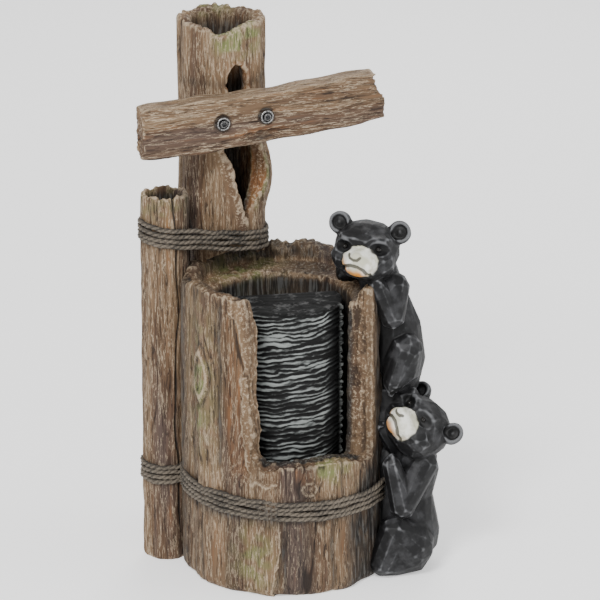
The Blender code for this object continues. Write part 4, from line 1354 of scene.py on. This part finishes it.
def makeRibForm(sizes):
    form = Form("waterRibs", sizes)
    place = form.node("GeometryNodeInputPosition", {}, {})
    parts = form.node("ShaderNodeSeparateXYZ", {}, {"Vector": place})
    x, y, z = (Wire(form, parts.socket.node.outputs[axis]) for axis in "XYZ")
    angle = form.maths("ARCTAN2", y, x)
    stretched = form.vector("MULTIPLY", place, (1.0, 1.0, 1.6))
    broad, fine = form.ripple(stretched, 24.0, 2.0), form.ripple(stretched, 95.0, 3.0)
    flat = {"X": x * 0.5, "Y": y * 0.5, "Z": (z - x * 0.10 + broad * 0.012) * 5.0}
    layers = form.ripple(form.node("ShaderNodeCombineXYZ", {}, flat), 46.0, 3.0)
    waver = (broad * 2.6 + fine * 0.5) * form.size("ribWaver")
    rib = form.maths("SINE", ((z - x * 0.08) / form.size("ribSpacing") + waver) * math.pi).absolute()
    depth = form.size("ribDepth")
    ribs = (rib - 0.6) * depth + layers * depth * 2.6 + fine * depth * 0.8
    # the putty seam is a row of thumbed beads
    away = (angle - form.size("seamAngle") + broad * 0.05).absolute()
    seam = 1 - (away / form.size("seamWidth")).between(0.0, 1.0)
    beads = form.maths("SINE", (z / form.size("beadSpacing") + broad * 2) * 2 * math.pi)
    seamHeight = seam * form.size("seamHeight") * (beads * 0.30 + 0.62 + fine * 0.9)
    foot = (z - form.size("floor")).between(0.0, 0.004)
    crown = (z - form.size("height")).between(-0.0005, 0.0015)
    out = form.vector("NORMALIZE", form.vector("MULTIPLY", place, (1.0, 1.0, 0.0)))
    outward = form.scaled(out, (ribs * (1 - seam) * foot + seamHeight) * (1 - crown))
    upward = form.node("ShaderNodeCombineXYZ", {}, {"Z": crown * (fine * 0.0050 + broad * 0.004 - 0.001)})
    rightSide = (angle - math.radians(-64)).between(-0.10, 0.30)
    leftSide = 1 - (angle - math.radians(-148)).between(-0.10, 0.22)
    lowEnd = 1 - (z - form.size("floor")).between(0.10, 0.16)
    shade = (rightSide + leftSide * 0.7 + lowEnd * 0.10) * (1 - seam)
    solid = form.geometry()
    masks = {"relief": rib * 0.62 + layers * 1.5 + 0.12, "seam": seam, "crown": crown, "shade": shade}
    for name, value in masks.items():
        solid = form.keep(solid, name, value)
    sockets = {"Geometry": solid, "Offset": form.vector("ADD", outward, upward)}
    return form, form.node("GeometryNodeSetPosition", {}, sockets)


waterPaint = makeWaterPaint()
waterWallSkin = makeWaterWall()
ribSizes = {key: waterWall[key] for key in ("ribSpacing", "ribDepth", "ribWaver", "seamHeight", "beadSpacing")}
for key in ("seamAngle", "seamWidth"):
    ribSizes[key] = math.radians(waterWall[key])
ribSizes["height"] = waterWall["height"] - waterWall["crown"]
ribSizes["floor"] = stump["basinFloor"] + waterWall["seatGap"]
ribForm, ribSolid = makeRibForm(ribSizes)
ribForm.close(ribSolid, waterPaint)
ribForm.shape(waterWallSkin, ribSizes)
finishPiece(waterWallSkin, waterPaint, "black_slate_resin", "water_wall")
print("water wall", len(waterWallSkin.data.polygons))


# bolts: one turned head, set twice on the board by Geometry Nodes
bolts = {
    "headRadius": 0.0085,
    "headHeight": 0.0050,
    "lipHeight": 0.0034,
    "shankRadius": 0.0038,
    "shankLength": 0.019,
    "segments": 40,
    "turnRange": 2.4,
}


def makeBoltPattern():
    head, tall, lip = bolts["headRadius"], bolts["headHeight"], bolts["lipHeight"]
    profile = [
        (bolts["shankRadius"], bolts["shankLength"]), (bolts["shankRadius"], 0.0), (head - 0.0003, 0.0),
        (head, -0.0003), (head, -lip + 0.0004), (head - 0.0005, -lip), (0.82 * head, -lip),
        (0.77 * head, -lip + 0.0004), (0.75 * head, -0.26 * tall), (0.58 * head, -0.24 * tall),
        (0.56 * head, -0.88 * tall), (0.50 * head, -tall), (0.38 * head, -tall), (0.32 * head, -0.72 * tall),
        (0.06 * head, -0.66 * tall),
    ]
    ways = [(math.cos(t), math.sin(t)) for t in turns(bolts["segments"])]
    rings = [[Vector((radius * x, back, radius * z)) for x, z in ways] for radius, back in profile]
    pattern = loft("boltPattern", rings)
    spots, _ = meshArrays(pattern.data)
    radius, tip = np.hypot(spots[:, 0], spots[:, 2]) / head, -spots[:, 1]
    rim = np.maximum((radius > 0.76) * (tip > 0.5 * lip), 0.45 * (radius > 0.34) * (tip > 0.8 * tall))
    keepMasks(pattern.data, rim=rim * 1.0)
    return pattern


def makeBolts():
    pattern = makeBoltPattern()
    mesh = bpy.data.meshes.new("boardBolts")
    mesh.from_pydata([place - Vector((0, 0.0003, 0)) for place in boltPlaces()], [], [])
    piece = newPiece("boardBolts", mesh)
    sizes = {"turnRange": bolts["turnRange"]}
    form = Form("boltPair", sizes)
    copy = form.node("GeometryNodeObjectInfo", {}, {"Object": pattern}, "Geometry")
    sockets = {"Min": 0.3, "Max": form.size("turnRange"), "Seed": 4}
    spin = form.node("FunctionNodeRandomValue", {"data_type": "FLOAT"}, sockets, 1)
    turn = form.node("ShaderNodeCombineXYZ", {}, {"Y": spin})
    sockets = {"Points": form.geometry(), "Instance": copy, "Rotation": turn}
    paint = makeSteelPaint()
    form.close(form.node("GeometryNodeInstanceOnPoints", {}, sockets), paint)
    form.shape(piece, sizes)
    dropPiece(pattern)
    return piece, paint


boardBolts, steelPaint = makeBolts()
finishPiece(boardBolts, steelPaint, "bolt_steel", "left_board_bolt", "right_board_bolt", smooth=False)
print("bolts", len(boardBolts.data.polygons))


# bears: lumps wrapped in one skin, cut into broad knife facets, then the faces are carved
bears = {
    "voxel": 0.00125,
    "evening": 5,
    "facetShare": 0.0042,
    "headRadius": 0.0432,
    "toeRadius": 0.0048,
    "toeSpacing": 0.0058,
    "eyeRadii": (0.0036, 0.0036, 0.0030),
    "eyeSink": 0.955,
    "mouthDepth": 0.0020,
    "noseDepth": 0.0012,
    "noseRise": 0.0022,
    "socketDepth": 0.0030,
    "lidRise": 0.0013,
    "browRise": 0.0024,
    "earDepth": 0.0048,
}

upperBearShape = {
    "angle": fountain["upperBearAngle"],
    "headCentre": (0.0915, -0.0520, 0.4275),
    "face": (-124.0, 12.0, -5.0),
    "eyes": ((-0.53, -0.74, 0.10), (0.51, -0.75, 0.16)),
    "limbs": [
        [(-0.014, -0.006, 0.400, 0.026), (-0.005, 0.000, 0.366, 0.028), (0.012, 0.000, 0.318, 0.032)],
        [(0.012, 0.000, 0.318, 0.032), (0.013, 0.000, 0.280, 0.036), (0.014, 0.004, 0.250, 0.028)],
        [(0.017, -0.020, 0.274, 0.026), (0.025, -0.030, 0.300, 0.021), (0.010, -0.034, 0.258, 0.014)],
        [(0.014, 0.024, 0.272, 0.027), (0.004, 0.034, 0.306, 0.020), (0.002, 0.038, 0.252, 0.015)],
        [(0.009, -0.018, 0.378, 0.020), (0.007, -0.033, 0.345, 0.016), (-0.014, -0.035, 0.388, 0.011)],
        [(-0.002, 0.020, 0.374, 0.019), (-0.022, 0.044, 0.388, 0.014), (-0.056, 0.047, 0.374, 0.011)],
    ],
    "paws": [((-0.0160, -0.0360, 0.392), (-1.0, -0.25, -0.35)), ((-0.0600, 0.0480, 0.372), (-1.0, 0.0, -0.3)),
             ((0.0060, -0.0400, 0.252), (-0.4, -0.9, -0.2)), ((0.0000, 0.0390, 0.246), (-0.3, 0.9, -0.45))],
}

lowerBearShape = {
    "angle": fountain["lowerBearAngle"],
    "headCentre": (0.1502, -0.0880, 0.1935),
    "face": (-139.0, 40.0, -37.0),
    "eyes": ((-0.40, -0.80, 0.26), (0.36, -0.82, 0.28)),
    "limbs": [
        [(0.036, -0.004, 0.162, 0.027), (0.037, 0.000, 0.134, 0.031), (0.032, 0.003, 0.098, 0.028)],
        [(0.032, 0.003, 0.098, 0.028), (0.030, 0.004, 0.044, 0.040)],
        [(0.004, 0.000, 0.140, 0.024), (0.004, 0.000, 0.040, 0.030)],
        [(0.036, -0.026, 0.038, 0.030), (0.016, -0.040, 0.060, 0.021), (0.001, -0.044, 0.020, 0.018)],
        [(0.036, 0.030, 0.038, 0.030), (0.016, 0.044, 0.060, 0.021), (0.003, 0.046, 0.024, 0.015)],
        [(0.000, -0.036, 0.014, 0.016), (0.018, -0.034, 0.018, 0.019), (0.036, -0.024, 0.024, 0.024)],
        [(0.048, -0.016, 0.146, 0.021), (0.026, -0.040, 0.097, 0.017), (0.012, -0.041, 0.152, 0.012)],
        [(0.044, 0.020, 0.142, 0.020), (0.010, 0.042, 0.120, 0.015), (-0.004, 0.030, 0.160, 0.011)],
        [(0.014, -0.008, 0.165, 0.013), (-0.003, -0.015, 0.194, 0.010)],
        [
            (-0.006, 0.000, 0.200, 0.020), (0.004, 0.006, 0.226, 0.019), (0.020, 0.000, 0.230, 0.015),
            (0.031, 0.000, 0.233, 0.011),
        ],
    ],
    "paws": [((0.0090, -0.0420, 0.156), (-0.9, -0.1, 0.45)), ((-0.0050, -0.0160, 0.199), (-0.8, -0.2, 0.6)),
             ((-0.0010, -0.0480, 0.014), (-0.5, -0.85, -0.1)), ((0.0000, 0.0480, 0.016), (-0.5, 0.85, -0.1))],
}

headLumps = [
    ((0.0, 0.0, 0.04), (0.98, 0.90, 0.84)), ((0.0, -0.12, -0.34), (0.92, 0.78, 0.56)),
    ((0.0, -0.38, 0.32), (0.80, 0.54, 0.36)), ((0.0, -0.78, -0.26), (0.53, 0.50, 0.38)),
    ((0.0, -0.84, -0.50), (0.38, 0.34, 0.22)), ((-0.06, -1.20, -0.12), (0.18, 0.12, 0.13)),
    ((0.50, -0.42, -0.22), (0.45, 0.42, 0.44)), ((-0.50, -0.42, -0.22), (0.45, 0.42, 0.44)),
]
earLumps = [((0.89, -0.02, 0.65), (0.36, 0.16, 0.36)), ((0.74, 0.04, 0.50), (0.28, 0.20, 0.28))]
earLean = 40.0
mouthLine = [(-0.50, -0.56), (-0.38, -0.44), (-0.18, -0.37), (0.04, -0.39), (0.22, -0.48), (0.34, -0.64)]
noseLine = [(-0.28, -0.06), (-0.22, -0.15), (-0.10, -0.20), (0.02, -0.19), (0.08, -0.12)]


def headAxes(faceAngle, pitch, roll):
    # columns: the head's left, the back of the head and its crown
    a, p = math.radians(faceAngle), math.radians(pitch)
    face = Vector((math.cos(a) * math.cos(p), math.sin(a) * math.cos(p), math.sin(p)))
    side = Vector((-face.y, face.x, 0.0)).normalized()
    side.rotate(Matrix.Rotation(math.radians(roll), 3, face))
    return Matrix((side, -face, face.cross(side))).transposed()


def unitBall(segments, rows):
    points = [(0.0, 0.0, -1.0)]
    for i in range(1, rows):
        level = math.pi * (i / rows - 0.5)
        across = math.cos(level)
        points += [(across * math.cos(t), across * math.sin(t), math.sin(level)) for t in turns(segments)]
    points.append((0.0, 0.0, 1.0))
    last = len(points) - 1
    pairs = [(j, (j + 1) % segments) for j in range(segments)]
    faces = [(0, 1 + b, 1 + a) for a, b in pairs]
    for low in range(1, 1 + (rows - 2) * segments, segments):
        faces += [(low + a, low + b, low + segments + b, low + segments + a) for a, b in pairs]
    faces += [(last, last - segments + a, last - segments + b) for a, b in pairs]
    return np.array(points), faces


class Lumps:
    # balls gathered into one mesh
    def __init__(self):
        self.template, self.pattern = unitBall(20, 12)
        self.points, self.faces = [], []

    def ball(self, centre, radii, axes=Matrix.Identity(3)):
        first = len(self.points) * len(self.template)
        self.points.append((self.template * np.array(radii)) @ np.array(axes).T + np.array(centre))
        self.faces += [tuple(first + corner for corner in face) for face in self.pattern]

    def limb(self, *joints):
        for (start, thick), (end, thin) in zip(joints, joints[1:]):
            beads = max(5, math.ceil(5 * (end - start).length / thin))
            for i in range(beads + 1):
                radius = thick + (thin - thick) * i / beads
                self.ball(start.lerp(end, i / beads), (radius, radius, radius))

    def mesh(self, name):
        made = bpy.data.meshes.new(name)
        made.from_pydata(np.concatenate(self.points).tolist(), [], self.faces)
        return made


def lineDistance(across, up, points):
    near = np.full(len(across), 9.0)
    for (ax, az), (bx, bz) in zip(points, points[1:]):
        dx, dz = bx - ax, bz - az
        share = np.clip(((across - ax) * dx + (up - az) * dz) / (dx * dx + dz * dz), 0, 1)
        near = np.minimum(near, np.hypot(across - ax - share * dx, up - az - share * dz))
    return near


def knifeFacets(piece, share):
    # where each point lands on a coarse copy of the form, whose faces are the flat cuts
    coarse = newPiece("coarse", piece.data.copy())
    cut = coarse.modifiers.new("cut", "DECIMATE")
    cut.ratio = share
    flat = evaluated(coarse)
    corners, faces = [vert.co for vert in flat.vertices], [tuple(face.vertices) for face in flat.polygons]
    tree = bvhtree.BVHTree.FromPolygons(corners, faces)
    landed = np.array([tree.find_nearest(vert.co)[0] for vert in piece.data.vertices])
    dropPiece(coarse)
    bpy.data.meshes.remove(flat)
    return landed


def makeBear(name, shape):
    size = bears["headRadius"]
    angle = math.radians(shape["angle"])
    out, along = Vector((*around(angle, 1.0), 0)), Vector((-math.sin(angle), math.cos(angle), 0))
    centre, axes = Vector(shape["headCentre"]), headAxes(*shape["face"])
    base = fountain["stumpRadius"]

    def spot(reach, aside, up):
        return out * (base + reach) + along * aside + Vector((0, 0, up))

    lumps = Lumps()
    for joints in shape["limbs"]:
        lumps.limb(*[(spot(*joint[:3]), joint[3]) for joint in joints])
    for place, radii in headLumps:
        lumps.ball(centre + axes @ (Vector(place) * size), [r * size for r in radii], axes)
    for side in (-1, 1):
        lean = axes @ Matrix.Rotation(math.radians(earLean * side), 3, "Y")
        for (x, y, z), radii in earLumps:
            lumps.ball(centre + axes @ (Vector((x * side, y, z)) * size), [r * size for r in radii], lean)
    for place, way in shape["paws"]:
        toward = (out * way[0] + along * way[1] + Vector((0, 0, way[2]))).normalized()
        across = toward.cross(out if abs(toward.dot(out)) < 0.8 else along).normalized()
        for k in (-1.5, -0.5, 0.5, 1.5):
            toe = spot(*place) + across * (bears["toeSpacing"] * k) + toward * (0.002 - 0.0008 * k * k)
            lumps.ball(toe, [bears["toeRadius"]] * 3)
    piece = reskin(newPiece(name, lumps.mesh(name)), bears["voxel"])
    mesh = piece.data
    edges = edgeArray(mesh)
    placePoints(mesh, spread(meshArrays(mesh)[0], edges, bears["evening"]))
    landed = knifeFacets(piece, bears["facetShare"])
    spots, normals = meshArrays(mesh)
    local = (spots - np.array(centre)) @ np.array(axes) / size
    x, y, z = local.T
    inHead = (np.sqrt((local**2).sum(axis=1)) < 1.55) * 1.0

    def near(place, radii):
        return np.sqrt((((local - np.array(place)) / np.array(radii)) ** 2).sum(axis=1))

    def dent(place, radii):
        return np.exp(-near(place, radii) ** 2)

    halfMuzzle = np.interp(z, [-0.76, -0.66, -0.42, -0.15, 0.12, 0.24], [-0.1, 0.34, 0.50, 0.52, 0.32, -0.1])
    muzzle = smoothStep(0.03, -0.02, np.abs(x - 0.02) - halfMuzzle) * (y < -0.4)
    ears = np.maximum(*(smoothStep(0.53, 0.45, near((0.90 * s, -0.02, 0.67), (1, 1, 1))) for s in (-1, 1)))
    weight = (1 - 0.85 * muzzle * inHead) * (1 - 0.9 * ears * inHead)
    spots = spots + (landed - spots) * weight[:, None]
    spots = spread(spots, edges, 1)
    mouth = np.exp(-((lineDistance(x, z, mouthLine) + 9 * (y > -0.6)) / 0.042) ** 2) * inHead
    nose = np.exp(-((lineDistance(x, z, noseLine) + 9 * (y > -0.8)) / 0.035) ** 2) * inHead
    carve = bears["noseRise"] * dent((-0.07, -1.25, 0.02), (0.17, 0.5, 0.16))
    carve -= bears["mouthDepth"] * mouth + bears["noseDepth"] * nose
    socket = np.zeros(len(spots))
    for eye in shape["eyes"]:
        far = near(eye, (1.25, 1.6, 0.85))
        carve -= bears["socketDepth"] * np.exp(-(far / 0.19) ** 2)
        carve += bears["lidRise"] * np.exp(-((far - 0.24) / 0.05) ** 2)
        carve += bears["browRise"] * dent((eye[0], eye[1], eye[2] + 0.26), (0.34, 0.6, 0.10))
        socket = np.maximum(socket, np.exp(-(far / 0.22) ** 4))
    recess = np.zeros(len(spots))
    for side in (-1, 1):
        far = near((0.92 * side, -0.14, 0.68), (1, 1.3, 1))
        recess = np.maximum(recess, smoothStep(0.27, 0.20, far) * (normals @ np.array(axes)[:, 1] < 0.1))
        carve += 0.0015 * np.exp(-(far / 0.09) ** 2)
    carve -= bears["earDepth"] * recess
    carve += 0.0009 * muzzle * latticeNoise(spots / 0.011, 91)
    height = carve * inHead + 0.0002 * latticeNoise(spots / 0.004, 92)
    height = np.where(spots[:, 2] < 0.004, 0.0, height)
    spots = spots + normals * height[:, None]
    spots[:, 2] = np.maximum(spots[:, 2], 0.0)
    placePoints(mesh, spots)
    wear = spread(edgeWear(mesh, 6), edges, 2) / 0.0004
    # painted shade in creases, eye sockets and ear recesses and where the body tucks in against the stump, with
    # the dark mouth and nose lines
    tucked = smoothStep(base + 0.014, base + 0.003, np.hypot(spots[:, 0], spots[:, 1])) * (1 - inHead)
    crease = np.clip(-wear, 0, 1) * (1 - 0.6 * muzzle) + 2.2 * mouth + 2.0 * nose
    crease += (0.7 * socket + 0.5 * recess) * inHead + 0.9 * tucked
    lip = smoothStep(1.5, 0.5, near((-0.12, -0.98, -0.68), (0.38, 0.45, 0.17)))
    lip = (lip + 0.8 * smoothStep(1.4, 0.3, near((-0.44, -0.88, -0.40), (0.16, 0.45, 0.24)))) * muzzle
    stain = smoothStep(-0.5, 0.8, latticeNoise(spots / 0.008, 93)) * smoothStep(-0.30, -0.60, z)
    # painted highlight on the paws, added to the worn ridges
    pawHighlight = np.zeros(len(spots))
    for place, _ in shape["paws"]:
        far = np.linalg.norm(spots - np.array(spot(*place)), axis=1)
        pawHighlight = np.maximum(pawHighlight, np.exp(-(far / 0.012) ** 2))
    wear = wear + 0.9 * pawHighlight * latticeNoise(spots / 0.003, 94)
    keepMasks(
        mesh, wear=wear * (wear > 0) * (1 - 0.7 * socket), crease=crease, ear=ears * inHead, eye=0 * wear,
        ivory=muzzle * inHead * (1 - 0.8 * socket), lip=(0.85 * lip + 0.4 * stain * muzzle) * inHead,
    )
    addEyes(piece, centre, axes, shape["eyes"], size)
    return piece


def addEyes(piece, centre, axes, eyes, size):
    lumps = Lumps()
    for eye in eyes:
        lumps.ball(centre + axes @ (Vector(eye) * bears["eyeSink"] * size), bears["eyeRadii"], axes)
    balls = lumps.mesh("eyes")
    keepMasks(balls, eye=np.ones(len(balls.vertices)))
    build = bmesh.new()
    build.from_mesh(piece.data)
    build.from_mesh(balls)
    build.to_mesh(piece.data)
    build.free()
    bpy.data.meshes.remove(balls)


bearPaint = makeBearPaint()
upperBear = makeBear("upperBear", upperBearShape)
finishPiece(upperBear, bearPaint, "resin_bark", "log_casting")
lowerBear = makeBear("lowerBear", lowerBearShape)
finishPiece(lowerBear, bearPaint, "resin_bark", "log_casting")
print("bears", len(upperBear.data.polygons), len(lowerBear.data.polygons))


# floor, light and camera
studio = {
    "azimuth": -20.0,
    "elevation": 19.5,
    "distance": 6.0,
    "target": (0.05627, 0.09793, 0.31421),
    "lens": 278.6,
    "floorSize": 14.0,
    "worldLight": 0.75,
    "floorGlow": 0.55,
    # name, place, what it lights, size and power
    "lights": (
        ("keyLight", (-1.6, -2.0, 2.8), (0.0, 0.0, 0.32), 1.0, 120),
        ("fillLight", (2.6, -1.4, 1.2), (0.05, 0.0, 0.30), 1.8, 30),
        ("backLight", (1.2, 2.4, 2.2), (0.0, 0.0, 0.35), 1.5, 40),
    ),
}


def areaLight(name, place, target, size, power):
    lamp = bpy.data.lights.new(name, "AREA")
    lamp.size = size
    lamp.energy = power
    holder = bpy.data.objects.new(name, lamp)
    bpy.context.scene.collection.objects.link(holder)
    holder.location = place
    holder.rotation_euler = (Vector(target) - Vector(place)).to_track_quat("-Z", "Y").to_euler()


def makeStudio():
    floorPaint = Paint("studioFloor")
    floorPaint.finish((0.90, 0.90, 0.90), 0.9)
    floorPaint.shader.inputs["Emission Color"].default_value = (1.0, 1.0, 1.0, 1.0)
    floorPaint.shader.inputs["Emission Strength"].default_value = studio["floorGlow"]
    half = studio["floorSize"] / 2
    mesh = bpy.data.meshes.new("floor")
    corners = [(-half, -half, 0), (half, -half, 0), (half, half, 0), (-half, half, 0)]
    mesh.from_pydata(corners, [], [(0, 1, 2, 3)])
    mesh.materials.append(floorPaint.material)
    newPiece("floor", mesh)
    world = bpy.data.worlds.new("studio")
    world.use_nodes = True
    world.node_tree.nodes["Background"].inputs["Color"].default_value = (1.0, 1.0, 1.0, 1.0)
    world.node_tree.nodes["Background"].inputs["Strength"].default_value = studio["worldLight"]
    bpy.context.scene.world = world
    for light in studio["lights"]:
        areaLight(*light)
    azimuth, elevation = math.radians(studio["azimuth"]), math.radians(studio["elevation"])
    flat = math.cos(elevation)
    back = Vector((math.sin(azimuth) * flat, -math.cos(azimuth) * flat, math.sin(elevation)))
    lens = bpy.data.cameras.new("camera")
    lens.lens = studio["lens"]
    lens.sensor_width = 36.0
    lens.clip_end = 60.0
    holder = bpy.data.objects.new("camera", lens)
    bpy.context.scene.collection.objects.link(holder)
    holder.location = Vector(studio["target"]) + back * studio["distance"]
    holder.rotation_euler = (-back).to_track_quat("-Z", "Y").to_euler()
    bpy.context.scene.camera = holder


makeStudio()
print("studio ready")
